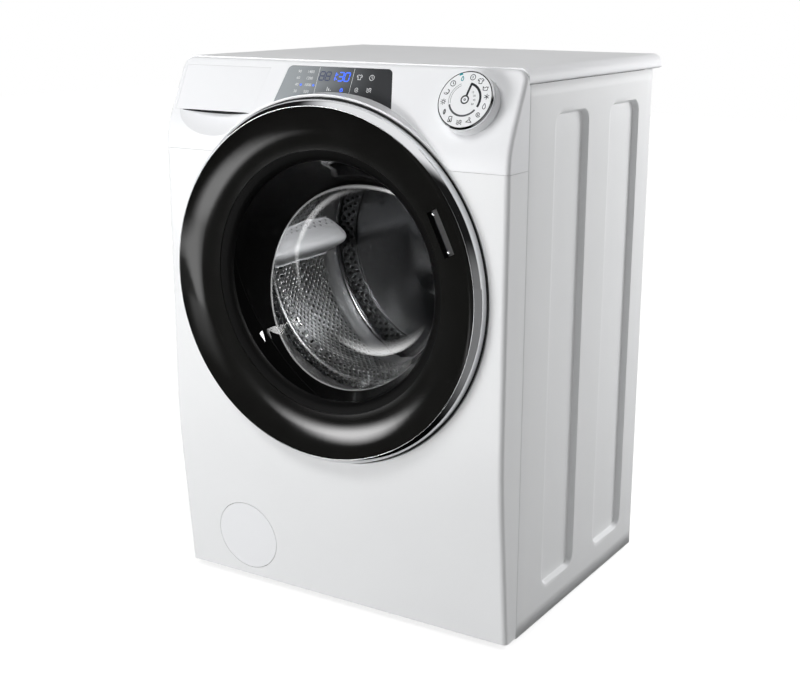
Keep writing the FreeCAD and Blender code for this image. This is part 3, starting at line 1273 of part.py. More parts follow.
# Door
def door_bezel():
    """Black dish: hollow from its inner edge to the rim, with the slot of the handle."""
    inner, outer = "bezel_inner", "bezel_outer"
    body = turned([
        (inner, "-bezel_inner_ahead"), (outer, "-door_projection", "-bezel_curve"),
        (outer, "bezel_wall - door_projection"),
        (f"{inner} + 2 * bezel_wall", "frame_front - seat_gap", "bezel_curve"),
        (inner, "frame_front - seat_gap"),
    ])
    slot = grip_slot("grip_length", "grip_radius", "grip_width")
    pocket(body, "XZ_Plane", "door_projection + overcut", [slot],
           "door_projection + well_depth")
    return node(body, "door_bezel")


def grip_slot(length, radius, width):
    """Slot square to a radius of the door, at the handle's angle, in the door's own plane."""
    cosine, sine = "cos(grip_angle)", "sin(grip_angle)"
    corners = []
    for along, across in ((-1, -1), (1, -1), (1, 1), (-1, 1)):
        out = f"({radius} + {-across} * {width} / 2)"
        up = f"({along} * {length} / 2)"
        corners.append((f"{out} * {cosine} - {up} * {sine}", f"{out} * {sine} + {up} * {cosine}"))
    return corners


def chrome_ring():
    """Bright ring round the door: front lip, sloping facet and side, notched behind at the hinge."""
    inner = "bezel_outer"
    body = turned([
        (inner, "-door_projection"), (f"{inner} + ring_lip", "-door_projection"),
        ("ring_shoulder", "-ring_shoulder_ahead"), ("ring_outer", "-ring_foot"),
        ("ring_outer - ring_wall", "-ring_foot"),
        ("ring_shoulder - ring_wall", "ring_step - ring_shoulder_ahead"),
        (inner, "ring_wall - door_projection"),
    ])
    far = "-ring_outer - overcut"
    notch = rectangle(far, "-ring_notch_half", "-bezel_outer - ring_lip", "ring_notch_half")
    pocket(body, "XZ_Plane", "-overcut", [notch], "door_projection - ring_wall + overcut", back=True)
    return node(body, "chrome_ring")


def door_glass():
    """Glass bowl with a flat flange."""
    lean = "(glass_wall_start - glass_wall_end) / (glass_wall_end_depth - glass_wall_start_depth)"
    over = f"(glass * cos(atan({lean})))"
    back = f"(glass * sin(atan({lean})))"
    body = turned([
        ("glass_flange", "0"), ("glass_mouth", "0"),
        ("glass_wall_start", "glass_wall_start_depth", "glass_mouth_bend"),
        ("glass_wall_end", "glass_wall_end_depth"),
        ("glass_floor_edge", "glass_floor_edge_depth", "-glass_floor_bend"),
        ("0", "glass_depth"), ("0", "glass_depth + glass"),
        ("glass_floor_edge", "glass_floor_edge_depth + glass"),
        (f"glass_wall_end + {over}", f"glass_wall_end_depth + {back}", "glass_floor_bend + glass"),
        (f"glass_wall_start + {over}", f"glass_wall_start_depth + {back}"),
        ("glass_mouth + glass / 2", "glass", "-glass_mouth_bend"),
        ("glass_flange", "glass"),
    ])
    return node(body, "door_glass")


def door_frame():
    """Inner frame that clamps the glass to the dish, open behind the handle."""
    inner = "(glass_flange + seat_gap)"
    lip = "(glass + seat_gap)"
    body = turned([
        (inner, "frame_front"), ("frame_outer", "frame_front"), ("frame_outer", "frame_back"),
        ("frame_lip", "frame_back"), ("frame_lip", lip), (inner, lip),
    ])
    slot = grip_slot("grip_length", "grip_radius", "grip_width")
    pocket(body, "XZ_Plane", "overcut", [slot], "frame_back + 2 * overcut")
    hook = rectangle("hook_x - slot_half_x", "-hook_half - lever_gap", "hook_x + slot_half_x",
                     "hook_half + lever_gap")
    pocket(body, "XZ_Plane", "overcut", [hook], "frame_back + 2 * overcut")
    pivot = ("circle", "hook_x", "hook_depth", "hook_pin + pin_running")
    pocket(body, "XY_Plane", "0", [pivot], "2 * (hook_half + hook_pin_end + lever_gap)", both=True)
    far = "-frame_outer - overcut"
    notch = rectangle(far, "-ring_notch_half", "hinge_x + hinge_notch", "ring_notch_half")
    pocket(body, "XZ_Plane", "overcut", [notch], "frame_back + 2 * overcut")
    return node(body, "door_frame")


def hinge_bracket():
    """Fixed hinge part: plate on the well floor, two arms and the pin."""
    body = new_body("0", FRONT, "door_z")
    first = "(hinge_knuckle_half + hinge_arm_gap)"
    last = f"({first} + hinge_arm_height)"
    left, right = "(hinge_x - hinge_arm_half)", "(hinge_x + hinge_arm_half)"
    floor = "(well_depth - hinge_plate)"
    tip = "(-hinge_ahead - hinge_arm_half)"
    arm = [(left, floor), (left, "-hinge_ahead"), ("hinge_x", tip, "hinge_arm_half"),
           (right, "-hinge_ahead", "hinge_arm_half"), (right, floor)]
    plate = rectangle(left, floor, f"{right} + hinge_plate_side", "well_depth")
    pad(body, "XY_Plane", "0", [plate], f"2 * {last}", both=True)
    pad(body, "XY_Plane", first, [arm], "hinge_arm_height")
    pad(body, "XY_Plane", f"-{first}", [arm], "hinge_arm_height", back=True)
    pad(body, "XY_Plane", "0", [("circle", "hinge_x", "-hinge_ahead", "hinge_pin")], f"2 * {last}", both=True)
    return node(body, "hinge_bracket")


def hinge_leaf():
    """Door part of the hinge: knuckle round the pin and a leaf onto the door frame."""
    body = new_body("0", FRONT, "door_z")
    back = "frame_front"
    front = "(frame_front - hinge_leaf)"
    shape = [("hinge_x", "-hinge_ahead - hinge_knuckle", "hinge_knuckle"),
             ("hinge_x + hinge_knuckle", "-hinge_ahead", "hinge_knuckle"),
             ("hinge_x + hinge_notch", front), ("hinge_leaf_end", front), ("hinge_leaf_end", back),
             ("hinge_x + hinge_notch - hinge_leaf", back), ("hinge_x", "-hinge_ahead + hinge_knuckle"),
             ("hinge_x - hinge_knuckle", "-hinge_ahead", "hinge_knuckle")]
    pad(body, "XY_Plane", "0", [shape], "2 * hinge_knuckle_half", both=True)
    bore = [("circle", "hinge_x", "-hinge_ahead", "hinge_pin + pin_running")]
    pocket(body, "XY_Plane", "0", bore, "2 * (hinge_knuckle_half + overcut)", both=True)
    return node(body, "hinge_leaf")


def door_handle():
    """Lever across the outer half of the handle slot, with a round edge and pins between dish and frame."""
    body = new_body("0", FRONT, "door_z")
    body.Placement.Rotation = FreeCAD.Rotation(FreeCAD.Vector(0, -1, 0), value("grip_angle"))
    bind(body, "Placement.Rotation.Angle", "grip_angle")
    outer = "(grip_radius + grip_width / 2 - lever_gap)"
    front, back = "(frame_front - lever_depth - lever_thickness)", "(frame_front - lever_depth)"
    plate = rectangle(f"{outer} - lever_width", front, f"{outer} - lever_pin", back)
    long = "(grip_length - 2 * lever_gap)"
    axis = (f"{outer} - lever_pin", "frame_front - lever_pin - lever_pin_gap")
    pad(body, "XY_Plane", "0", [plate], long, both=True)
    pins = ("circle",) + axis + ("lever_pin",)
    pad(body, "XY_Plane", "0", [pins], f"{long} + 2 * lever_pin_end", both=True)
    return node(body, "door_handle")


def latch_hook():
    """Hook that enters the door lock, on an upright pivot in the door frame."""
    body = new_body("hook_x", FRONT, "door_z")
    half = "(hook_width / 2)"
    barb = f"{half} + hook_barb"
    barb_back = "hook_reach - hook_barb - hook_barb_height"
    shape = [(f"-{half}", "hook_depth"), (f"-{half}", "hook_reach"), (barb, "hook_reach - hook_barb"),
             (barb, barb_back), (half, barb_back),
             (half, "hook_depth")]
    pad(body, "XY_Plane", "0", [shape], "2 * hook_half", both=True)
    pad(body, "XY_Plane", "0", [("circle", "0", "hook_depth", "hook_boss")], "2 * hook_half", both=True)
    pad(body, "XY_Plane", "0", [("circle", "0", "hook_depth", "hook_pin")],
        "2 * (hook_half + hook_pin_end)", both=True)
    return node(body, "latch_hook")


def door_lock():
    """Door lock behind the well floor, hollow for the hook."""
    body = new_body()
    start = "(well_depth + front_wall)"
    left, right = "hook_x - lock_half_x", "hook_x + lock_half_x"
    case = rectangle(left, "door_z - lock_half_z", right, "door_z + lock_half_z")
    pad(body, "XZ_Plane", f"-{deep(start)}", [case], f"lock_end - {start}", back=True)
    slot = rectangle("hook_x - slot_half_x", "door_z - slot_half_z",
                     "hook_x + slot_half_x", "door_z + slot_half_z")
    pocket(body, "XZ_Plane", f"-{deep(start)}", [slot], f"lock_end - lock_wall - {start}")
    return node(body, "door_lock")


# Gasket, tub and drum
def gasket():
    """Folded rubber sleeve from the hatch lip into the tub's neck."""
    half = "(gasket / 2)"
    start = "(well_depth + front_wall + seat_gap)"
    bead = f"(hatch_radius - seat_gap - {half})"
    middle = [(bead, start), (bead, "gasket_bead_end"), ("gasket_neck", "gasket_neck_start"),
              ("gasket_neck", "gasket_neck_end"), ("gasket_crest", "gasket_crest_start"),
              ("gasket_crest", "gasket_crest_end"), ("gasket_end", "gasket_tail_start"),
              ("gasket_end", "gasket_end_depth")]
    shift = [0, -1, -1, 1, 1, -1, -1, 0]
    inner = [(f"{radius} - {half}", f"({depth}) + {half} * {step} * gasket_slant")
             for (radius, depth), step in zip(middle, shift)]
    outer = [(f"{radius} + {half}", f"({depth}) - {half} * {step} * gasket_slant")
             for (radius, depth), step in zip(middle, shift)]
    return node(turned(inner + outer[::-1]), "gasket")


def tub_hollow():
    """Space inside the tub, radius and depth."""
    inner = "(tub_radius - tub_wall)"
    front, rear = "(tub_front_depth + tub_wall)", "(tub_rear_depth - tub_wall)"
    return [("0", front), (f"{inner} - tub_corner", front), (inner, f"{front} + tub_corner"),
            (inner, f"{rear} - tub_corner"), (f"{inner} - tub_corner", rear), ("0", rear)]


def tub_front():
    """Front half of the tub: neck, front wall, nozzles and half of the wall."""
    outer, inner = "tub_radius", "(tub_radius - tub_wall)"
    neck, front = "hatch_radius", "tub_front_depth"
    joint = "tub_split_depth"
    body = turned([
        (neck, f"{front} - tub_neck"), (f"{neck} + tub_wall", f"{front} - tub_neck"),
        (f"{neck} + tub_wall", front), (f"{outer} - tub_corner", front), (outer, f"{front} + tub_corner"),
        (outer, f"{joint} - tub_flange"), (f"{outer} + tub_flange", f"{joint} - tub_flange"),
        (f"{outer} + tub_flange", joint), (inner, joint),
        (inner, f"{front} + tub_wall + tub_corner"), (f"{inner} - tub_corner", f"{front} + tub_wall"),
        (neck, f"{front} + tub_wall"),
    ])
    fill = ("circle", "fill_x", "fill_depth", "fill_radius")
    pad(body, "XY_Plane", "fill_low - door_z", [fill], "2 * nozzle_stub", back=True)
    sump = ("circle", "filter_x", "sump_depth", "sump_radius")
    pad(body, "XY_Plane", "sump_high - door_z", [sump], "sump_high_drop")
    hollow = tub_hollow()
    hollow[3] = (inner, joint)
    hollow[4:] = [("0", joint)]
    spin(body, "Groove", [hollow])
    fill_bore = ("circle", "fill_x", "fill_depth", "fill_radius - hose_wall")
    pocket(body, "XY_Plane", "fill_low - door_z", [fill_bore], "2 * nozzle_stub")
    sump_bore = ("circle", "filter_x", "sump_depth", "sump_radius - hose_wall")
    pocket(body, "XY_Plane", "sump_high - door_z", [sump_bore], "sump_high_drop", back=True)
    return node(body, "tub_front")


def tub_rear():
    """Rear half of the tub: bearing hub, ribs, spring ears and damper lugs."""
    outer, inner = "tub_radius", "(tub_radius - tub_wall)"
    joint, rear = "(tub_split_depth + seat_gap)", "tub_rear_depth"
    body = turned([
        (inner, joint), (f"{outer} + tub_flange", joint), (f"{outer} + tub_flange", f"{joint} + tub_flange"),
        (outer, f"{joint} + tub_flange"), (outer, f"{rear} - tub_corner"), (f"{outer} - tub_corner", rear),
        ("hub_radius", rear), ("hub_radius", "hub_rear_depth"), ("bearing_radius", "hub_rear_depth"),
        ("bearing_radius", "hub_front_depth"), ("hub_radius", "hub_front_depth"),
        ("hub_radius", f"{rear} - tub_wall"), (f"{inner} - tub_corner", f"{rear} - tub_wall"),
        (inner, f"{rear} - tub_wall - tub_corner"),
    ])
    rib = rectangle("hub_radius - weld", "-rib_width / 2", f"{outer} - 2 * tub_corner", "rib_width / 2")
    ribs = pad(body, "XZ_Plane", f"-{rear}", [rib], "rib_height", back=True)
    ring_of(body, ribs, "rib_count")
    for side in ("-1", "1"):
        low, high = "ear_z - ear_height - door_z", "ear_z - door_z"
        ear = rectangle(f"{side} * ear_start", low, f"{side} * ear_end", high)
        pad(body, "XZ_Plane", "-spring_depth", [ear], "2 * spring_radius", both=True)
        lug = rectangle(f"{side} * damper_x - damper_lug", "damper_lug_z - door_z",
                        f"{side} * damper_x + damper_lug", "damper_lug_top - door_z")
        pad(body, "XZ_Plane", "-damper_depth", [lug], "2 * damper_lug", both=True)
    return node(body, "tub_rear")


def bearings():
    """Two drum bearings in the tub's hub."""
    bore = "(shaft_radius + shaft_running)"
    pieces = []
    for start in ("hub_front_depth", "(hub_rear_depth - bearing_width)"):
        pieces.append(turned([(bore, start), ("bearing_radius", start),
                              ("bearing_radius", f"{start} + bearing_width"),
                              (bore, f"{start} + bearing_width")]))
    return node(group(pieces), "drum_bearings")


def drum_shell():
    """Rolled drum wall."""
    inner = "(drum_radius - drum_sheet)"
    start = "(drum_front_depth + drum_sheet)"
    return node(turned([(inner, start), ("drum_radius", start), ("drum_radius", "drum_rear_depth"),
                        (inner, "drum_rear_depth")]), "drum_shell")


def drum_front():
    """Front end of the drum with a rolled mouth."""
    start, back = "drum_front_depth", "(drum_front_depth + drum_sheet)"
    return node(turned([
        ("drum_mouth", f"{start} - drum_lip"), ("drum_mouth + drum_sheet", f"{start} - drum_lip"),
        ("drum_mouth + drum_sheet", start), ("drum_radius", start),
        ("drum_radius", back), ("drum_mouth", back),
    ]), "drum_front")


def drum_back():
    """Dished rear end of the drum."""
    start, back = "drum_rear_depth", "(drum_rear_depth + drum_sheet)"
    disc = [("0", start), ("drum_radius", start), ("drum_radius", back), ("0", back)]
    return node(turned(disc), "drum_back")


def lifters():
    """Three hollow-sided lifters on the drum wall."""
    pieces = []
    wall = "(drum_radius - drum_sheet - seat_gap)"
    foot_z = f"sqrt({wall} * {wall} - lifter_foot * lifter_foot)"
    crest = f"({wall} - lifter_height)"
    for turn in range(LIFTER_COUNT):
        body = new_body("0", FRONT, "door_z")
        shape = [("lifter_foot", f"-{foot_z}", wall), ("lifter_crest", f"-{crest}", "-lifter_side_curve"),
                 ("-lifter_crest", f"-{crest}", "lifter_crest_curve"),
                 ("-lifter_foot", f"-{foot_z}", "-lifter_side_curve")]
        pad(body, "XZ_Plane", "-lifter_start", [shape], "lifter_end - lifter_start", back=True)
        body.Placement.Rotation = FreeCAD.Rotation(
            FreeCAD.Vector(0, 1, 0), value("lifter_turn") + 360 / LIFTER_COUNT * turn)
        place(body, "0", FRONT, "door_z")
        pieces.append(body)
    return node(group(pieces), "lifters")


def drum_spider():
    """Cast three-armed spider behind the drum."""
    start = "(drum_rear_depth + drum_sheet)"
    bore = "shaft_radius"
    body = turned([(bore, start), ("spider_hub", start), ("spider_hub", f"{start} + spider_depth"),
                   (bore, f"{start} + spider_depth")])
    arm = [("-spider_arm_half", "spider_hub - spider_root"), ("spider_arm_half", "spider_hub - spider_root"),
           ("spider_tip_half", "spider_reach"), ("-spider_tip_half", "spider_reach")]
    arms = pad(body, "XZ_Plane", f"-{start}", [arm], "spider_arm_depth", back=True)
    ring_of(body, arms, "3")
    return node(body, "drum_spider")


def drum_shaft():
    """Drum shaft from the spider to the pulley."""
    start = "(drum_rear_depth + drum_sheet)"
    body = turned([("0", start), ("shaft_radius", start), ("shaft_radius", "shaft_end"), ("0", "shaft_end")])
    return node(body, "drum_shaft")


def drum_pulley():
    """Spoked pulley on the drum shaft."""
    start, back = "pulley_start", "(pulley_start + pulley_width)"
    rim = "(pulley_radius - pulley_rim)"
    hub = [("shaft_radius", start), ("pulley_hub", start), ("pulley_hub", back), ("shaft_radius", back)]
    body = turned(hub)
    spoke = rectangle("-spoke_half", "pulley_hub - spoke_root", "spoke_half", f"{rim} + spoke_root")
    level = "(pulley_start + (pulley_width - pulley_web) / 2)"
    spokes = pad(body, "XZ_Plane", f"-{level}", [spoke], "pulley_web", back=True)
    ring_of(body, spokes, "spoke_count")
    spin(body, "Revolution", [[(rim, start), ("pulley_radius", start), ("pulley_radius", back), (rim, back)]])
    return node(body, "drum_pulley")


def motor():
    """Drive motor slung under the tub by two lugs."""
    bore = "(motor_shaft + shaft_running)"
    body = turned([
        ("0", "motor_start"), ("motor_face", "motor_start"), ("motor_radius", "motor_start + motor_bevel"),
        ("motor_radius", "motor_end - motor_bevel"), ("motor_face", "motor_end"), (bore, "motor_end"),
        (bore, "motor_end - motor_seat"), ("0", "motor_end - motor_seat"),
    ], "0", "motor_z")
    for side in ("-1", "1"):
        x = f"{side} * motor_lug_x"
        near = "(motor_lug_x - motor_lug)"
        tub_low = f"(door_z - sqrt(tub_radius * tub_radius - {near} * {near}))"
        top = f"({tub_low} - seat_gap - motor_z)"
        lug = rectangle(f"{x} - motor_lug", "motor_lug_root", f"{x} + motor_lug", top)
        pad(body, "XZ_Plane", "-(motor_start + motor_end) / 2", [lug], "motor_lug_long", both=True)
    return node(body, "motor")


def motor_pulley():
    """Motor shaft and its small flanged pulley."""
    start, back = "pulley_start", "(pulley_start + pulley_width)"
    inner_end = "motor_end - motor_seat + overcut"
    flange = "(motor_pulley + motor_pulley_flange)"
    body = turned([
        ("0", inner_end), ("motor_shaft", inner_end), ("motor_shaft", f"{start} - motor_pulley_side"),
        (flange, f"{start} - motor_pulley_side"), (flange, start),
        ("motor_pulley", start), ("motor_pulley", back),
        (flange, back), (flange, f"{back} + motor_pulley_side"), ("0", f"{back} + motor_pulley_side"),
    ], "0", "motor_z")
    return node(body, "motor_pulley")


def belt_loop(grow):
    """Outline of the belt round both pulleys, a distance outside their faces."""
    large = f"(pulley_radius + {grow})"
    small = f"(motor_pulley + {grow})"
    drop = "(door_z - motor_z)"
    sine = f"((pulley_radius - motor_pulley) / {drop})"
    cosine = f"sqrt(1 - {sine} * {sine})"
    return [
        (f"{large} * {cosine}", f"-{large} * {sine}"), ("0", large, large),
        (f"-{large} * {cosine}", f"-{large} * {sine}", large),
        (f"-{small} * {cosine}", f"-{drop} - {small} * {sine}"), ("0", f"-{drop} - {small}", small),
        (f"{small} * {cosine}", f"-{drop} - {small} * {sine}", small),
    ]


def drive_belt():
    """Ribbed belt over the drum and motor pulleys."""
    body = new_body("0", FRONT, "door_z")
    middle = "(pulley_start + pulley_width / 2)"
    pad(body, "XZ_Plane", f"-{middle}", [belt_loop("(belt_gap + belt)"), belt_loop("belt_gap")],
        "belt_width", both=True)
    return node(body, "drive_belt")


def counterweight():
    """Cast ring on the front of the tub."""
    back = "(tub_front_depth - seat_gap)"
    body = turned([
        ("weight_inner", "weight_start"), ("weight_outer", "weight_start"), ("weight_outer", back),
        ("weight_inner", back),
    ])
    return node(body, "counterweight")


def wash_heater():
    """Bent heating rod under the drum."""
    body = new_body("0", FRONT, "door_z")
    level = "-heater_from_axis"
    end = "(tub_rear_depth - tub_wall - seat_gap)"
    path = body.newObject("Sketcher::SketchObject", "Path")
    path.AttachmentSupport = [(plane_of(body, "XY_Plane"), "")]
    path.MapMode = "FlatFace"
    bind(path, "AttachmentOffset.Base.z", level)
    draw_loop(path, [
        ("-heater_half", end), ("-heater_half", "heater_start"),
        ("0", "heater_start - heater_half", "heater_half"), ("heater_half", "heater_start", "heater_half"),
        ("heater_half", end),
    ], closed=False)
    rod = outline(body, "XZ_Plane", f"-{end}", [("circle", "-heater_half", level, "heater_rod")])
    pipe = body.newObject("PartDesign::AdditivePipe", "Pipe")
    pipe.Profile = rod
    pipe.Spine = path
    return node(body, "wash_heater")


def springs():
    """Two hanging springs between the rear rail and the tub's ears."""
    pieces = []
    for side in ("-1", "1"):
        at = (f"{side} * spring_x", deep("spring_depth"), "ear_z")
        outer = upright("spring_radius", f"{RAIL_LOW} - ear_z", at)
        inner = upright("spring_radius - spring_wire", f"{RAIL_LOW} - ear_z", at)
        pieces.append(without(outer, inner))
    return node(group(pieces), "springs")


def damper_cylinders():
    """Two damper cylinders standing on the base pan."""
    pieces = []
    for side in ("-1", "1"):
        x, y = f"{side} * damper_x", deep("damper_depth")
        outer = upright("damper_radius", f"damper_top - {BASE_FLOOR}", (x, y, BASE_FLOOR))
        depth = "damper_top - damper_bore_low"
        bore = upright("damper_rod + damper_running", depth, (x, y, "damper_bore_low"))
        pieces.append(without(outer, bore))
    return node(group(pieces), "damper_cylinders")


def damper_rods():
    """Damper rods under the tub's lugs."""
    pieces = []
    for side in ("-1", "1"):
        at = (f"{side} * damper_x", deep("damper_depth"), "damper_rod_low")
        pieces.append(upright("damper_rod", "damper_lug_z - damper_rod_low", at))
    return node(group(pieces), "damper_rods")


# Water
def hose(x, depth, low, high, radius):
    """Upright piece of hose."""
    outer = upright(radius, f"({high}) - ({low})", (x, deep(depth), low))
    inner = upright(f"{radius} - hose_wall", f"({high}) - ({low})", (x, deep(depth), low))
    return without(outer, inner)


def fill_hose():
    """Hose from the dispenser housing down to the tub."""
    high = f"({TRAY_LOW} - seat_gap - housing_wall)"
    return node(hose("fill_x", "fill_depth", "fill_low", high, "fill_radius"), "fill_hose")


def sump_hose():
    """Hose from the tub's sump down to the filter housing."""
    return node(hose("filter_x", "sump_depth", "sump_low", "sump_high", "sump_radius"), "sump_hose")


def drain_pump():
    """Filter housing with its bore, impeller chamber, pump motor, inlet neck and foot."""
    outer = "(pump_bore + pump_wall)"
    body = turned([
        ("pump_bore", "pump_start"), (outer, "pump_start"), (outer, "pump_body_end"),
        ("pump_motor", "pump_body_end"), ("pump_motor", "pump_end"), ("0", "pump_end"),
        ("0", "impeller_shaft_end"), ("impeller_shaft + shaft_running", "impeller_shaft_end"),
        ("impeller_shaft + shaft_running", "volute_end"), ("volute_radius", "volute_end"),
        ("volute_radius", "pump_bore_end"), ("pump_bore", "pump_bore_end"),
    ], "filter_x", "filter_z")
    neck = ("circle", "0", "sump_depth", "sump_radius")
    throat = ("circle", "0", "sump_depth", "sump_radius - hose_wall")
    pad(body, "XY_Plane", "pump_bore", [neck], "sump_low - filter_z - pump_bore")
    pocket(body, "XY_Plane", "sump_low - filter_z", [throat], "sump_low - filter_z")
    foot = rectangle("-pump_foot_half", "pump_foot_start", "pump_foot_half", "pump_foot_end")
    foot_height = f"filter_z - {BASE_FLOOR} - pump_bore - overcut"
    pad(body, "XY_Plane", f"{BASE_FLOOR} - filter_z", [foot], foot_height)
    return node(body, "drain_pump")


def pump_impeller():
    """Pump impeller: shaft, back disc and vanes."""
    start = "(pump_bore_end + impeller_clear)"
    back = "(volute_end - impeller_clear)"
    disc = f"({back} - impeller_disc)"
    body = turned([
        ("0", start), ("impeller_shaft", start), ("impeller_shaft", disc), ("impeller_radius", disc),
        ("impeller_radius", back), ("impeller_shaft", back),
        ("impeller_shaft", "impeller_shaft_end - overcut"),
        ("0", "impeller_shaft_end - overcut"),
    ], "filter_x", "filter_z")
    root, tip = "impeller_shaft - overcut", "impeller_radius - overcut"
    vane = rectangle("-impeller_vane", root, "impeller_vane", tip)
    vanes = pad(body, "XZ_Plane", f"-{start}", [vane], f"{disc} - {start} + weld", back=True)
    ring_of(body, vanes, "vane_count")
    return node(body, "pump_impeller")


def filter_cap():
    """Screw cap of the filter with its grip bar."""
    plug = "(pump_bore - cap_running)"
    flange_back = "(pump_start - cap_running)"
    body = turned([
        ("0", "cap_flange_start"), ("cap_flange", "cap_flange_start"), ("cap_flange", flange_back),
        (plug, flange_back), (plug, "cap_plug_end"), ("0", "cap_plug_end"),
    ], "filter_x", "filter_z")
    bar = rounded("-cap_grip_reach", "-cap_grip_half", "cap_grip_reach", "cap_grip_half", "cap_grip_round")
    pad(body, "XZ_Plane", "-cap_flange_start", [bar], "cap_grip")
    return node(body, "filter_cap")


def inlet_valve():
    """Inlet valve inside the rear panel with its threaded spigot outside."""
    body = new_body("valve_x", FRONT, "valve_z")
    case = rounded("-valve_half", "-valve_half", "valve_half", "valve_half", "valve_round")
    end = f"({REAR_DEPTH} - seat_gap)"
    pad(body, "XZ_Plane", "-valve_start", [case], f"{end} - valve_start", back=True)
    shoulder = f"({REAR_DEPTH} + rear_sheet + inlet_neck)"
    pad(body, "XZ_Plane", f"-{end}", [("circle", "0", "0", "inlet_radius - seat_gap")],
        f"{shoulder} - {end}", back=True)
    pad(body, "XZ_Plane", f"-{shoulder}", [("circle", "0", "0", "inlet_radius")],
        f"inlet_end - {shoulder}", back=True)
    bore = ("circle", "0", "0", "inlet_bore")
    pocket(body, "XZ_Plane", "-inlet_end", [bore], "inlet_end - valve_start - valve_floor", back=True)
    return node(body, "inlet_valve")


def inlet_hose():
    """Straight supply hose from the valve to the dispenser housing."""
    start = "(housing_end + seat_gap)"
    length = f"valve_start - seat_gap - {start}"
    outer = along_y("inlet_hose", length, ("valve_x", deep(start), "valve_z"))
    inner = along_y("inlet_hose - hose_wall", length, ("valve_x", deep(start), "valve_z"))
    return node(without(outer, inner), "inlet_hose")


# Drying air
def drying_duct():
    """Air duct over the tub with a drop behind it."""
    body = new_body("0", FRONT)
    end = "(tub_rear_depth + rib_height + seat_gap + duct_elbow)"
    run = rounded("duct_left", "duct_low", "duct_right", "duct_high", "duct_round")
    pad(body, "XZ_Plane", "-duct_start", [run], f"{end} - duct_start", back=True)
    drop = rounded("duct_left", "duct_elbow_low", "duct_right", "duct_high", "duct_round")
    pad(body, "XZ_Plane", f"-({end} - duct_elbow)", [drop], "duct_elbow", back=True)
    return node(body, "drying_duct")


def air_heater():
    """Finned box of the air heater between fan and duct."""
    body = new_body("0", FRONT)
    inset = "air_heater_inset"
    left, right = f"duct_left + {inset}", f"duct_right - {inset}"
    case = rectangle(left, f"duct_low + {inset}", right, f"duct_high - {inset}")
    pad(body, "XZ_Plane", "-air_heater_start", [case], "duct_start - air_heater_start", back=True)
    fin = rectangle("duct_left", "duct_low", "duct_right", "duct_high")
    for row in range(int(value("fin_count"))):
        start = f"-(air_heater_start + fin_first + {row} * fin_pitch)"
        pad(body, "XZ_Plane", start, [fin], "fin_thickness", back=True)
    return node(body, "air_heater")


def fan_housing():
    """Round fan housing with an outlet down to the tub's front."""
    inner = "(fan_radius - fan_wall)"
    bore = "(fan_shaft + shaft_running)"
    body = turned([
        ("0", "fan_start"), ("fan_radius", "fan_start"), ("fan_radius", "fan_end"), (bore, "fan_end"),
        (bore, "fan_end - fan_back"), (inner, "fan_end - fan_back"), (inner, "fan_start + fan_wall"),
        ("0", "fan_start + fan_wall"),
    ], "fan_x", "fan_z")
    outlet = rectangle("-outlet_half", "outlet_low - fan_z", "outlet_half", "outlet_root - fan_radius")
    pad(body, "XZ_Plane", "-fan_start", [outlet], "2 * outlet_half", back=True)
    return node(body, "fan_housing")


def fan_wheel():
    """Drying fan wheel: back disc, shaft and a ring of blades."""
    end = "(fan_end - fan_back - fan_clear)"
    disc = f"({end} - fan_disc)"
    body = turned([
        ("0", disc), ("fan_wheel", disc), ("fan_wheel", end), ("fan_shaft", end), ("fan_shaft", "fan_end"),
        ("0", "fan_end"),
    ], "fan_x", "fan_z")
    blade = rectangle("-fan_blade / 2", "fan_wheel - fan_blade_chord", "fan_blade / 2", "fan_wheel - weld")
    start = f"-({end} - fan_wheel_length)"
    blades = pad(body, "XZ_Plane", start, [blade], "fan_wheel_length - weld", back=True)
    ring_of(body, blades, "fan_blade_count")
    return node(body, "fan_wheel")


def build():
    """Make every piece, check it and write its file."""
    fill_sheet()
    side_panel("-1", "side_panel_left")
    side_panel("1", "side_panel_right")
    for make in (
        base_pan, feet, front_panel, filter_flap, fascia, display_lens, control_board, worktop, cross_rails,
        rear_panel, rear_cover, transit_caps, mains_gland, drawer_front, drawer_tray, dispenser_housing,
        dial, dial_ring, door_bezel, chrome_ring, door_glass, door_frame, hinge_bracket, hinge_leaf,
        door_handle, latch_hook, door_lock, gasket, tub_front, tub_rear, bearings, drum_shell, drum_front,
        drum_back, lifters, drum_spider, drum_shaft, drum_pulley, motor, motor_pulley, drive_belt,
        counterweight, wash_heater, springs, damper_cylinders, damper_rods, fill_hose, sump_hose, drain_pump,
        pump_impeller, filter_cap, inlet_valve, inlet_hose, drying_duct, air_heater, fan_housing, fan_wheel,
    ):
        make()
    DOCUMENT.recompute()
    check_and_write()


def check_and_write():
    """Stop on any failed object or bad shape, then write one file for each node."""
    for item in DOCUMENT.Objects:
        if {"Invalid", "Error"} & set(item.State):
            raise RuntimeError(f"{item.Name} ({item.Label}) failed: {item.State}")
    for piece in NODES:
        shape = piece.Shape
        if shape.isNull() or not shape.isValid() or not shape.Solids:
            raise RuntimeError(f"{piece.Label} has no valid solid")
    os.makedirs("parts", exist_ok=True)
    for piece in NODES:
        piece.Shape.exportStep(f"parts/{piece.Label}.step")
    print(len(NODES), "nodes written")


build()
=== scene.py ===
"""Looks of a front-loading washer dryer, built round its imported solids.

Lengths are in metres. X runs across the machine, Y from the front to the back, Z up, with the origin
on the floor. The file is laid out as an add-on and is run as a script.
"""
import math

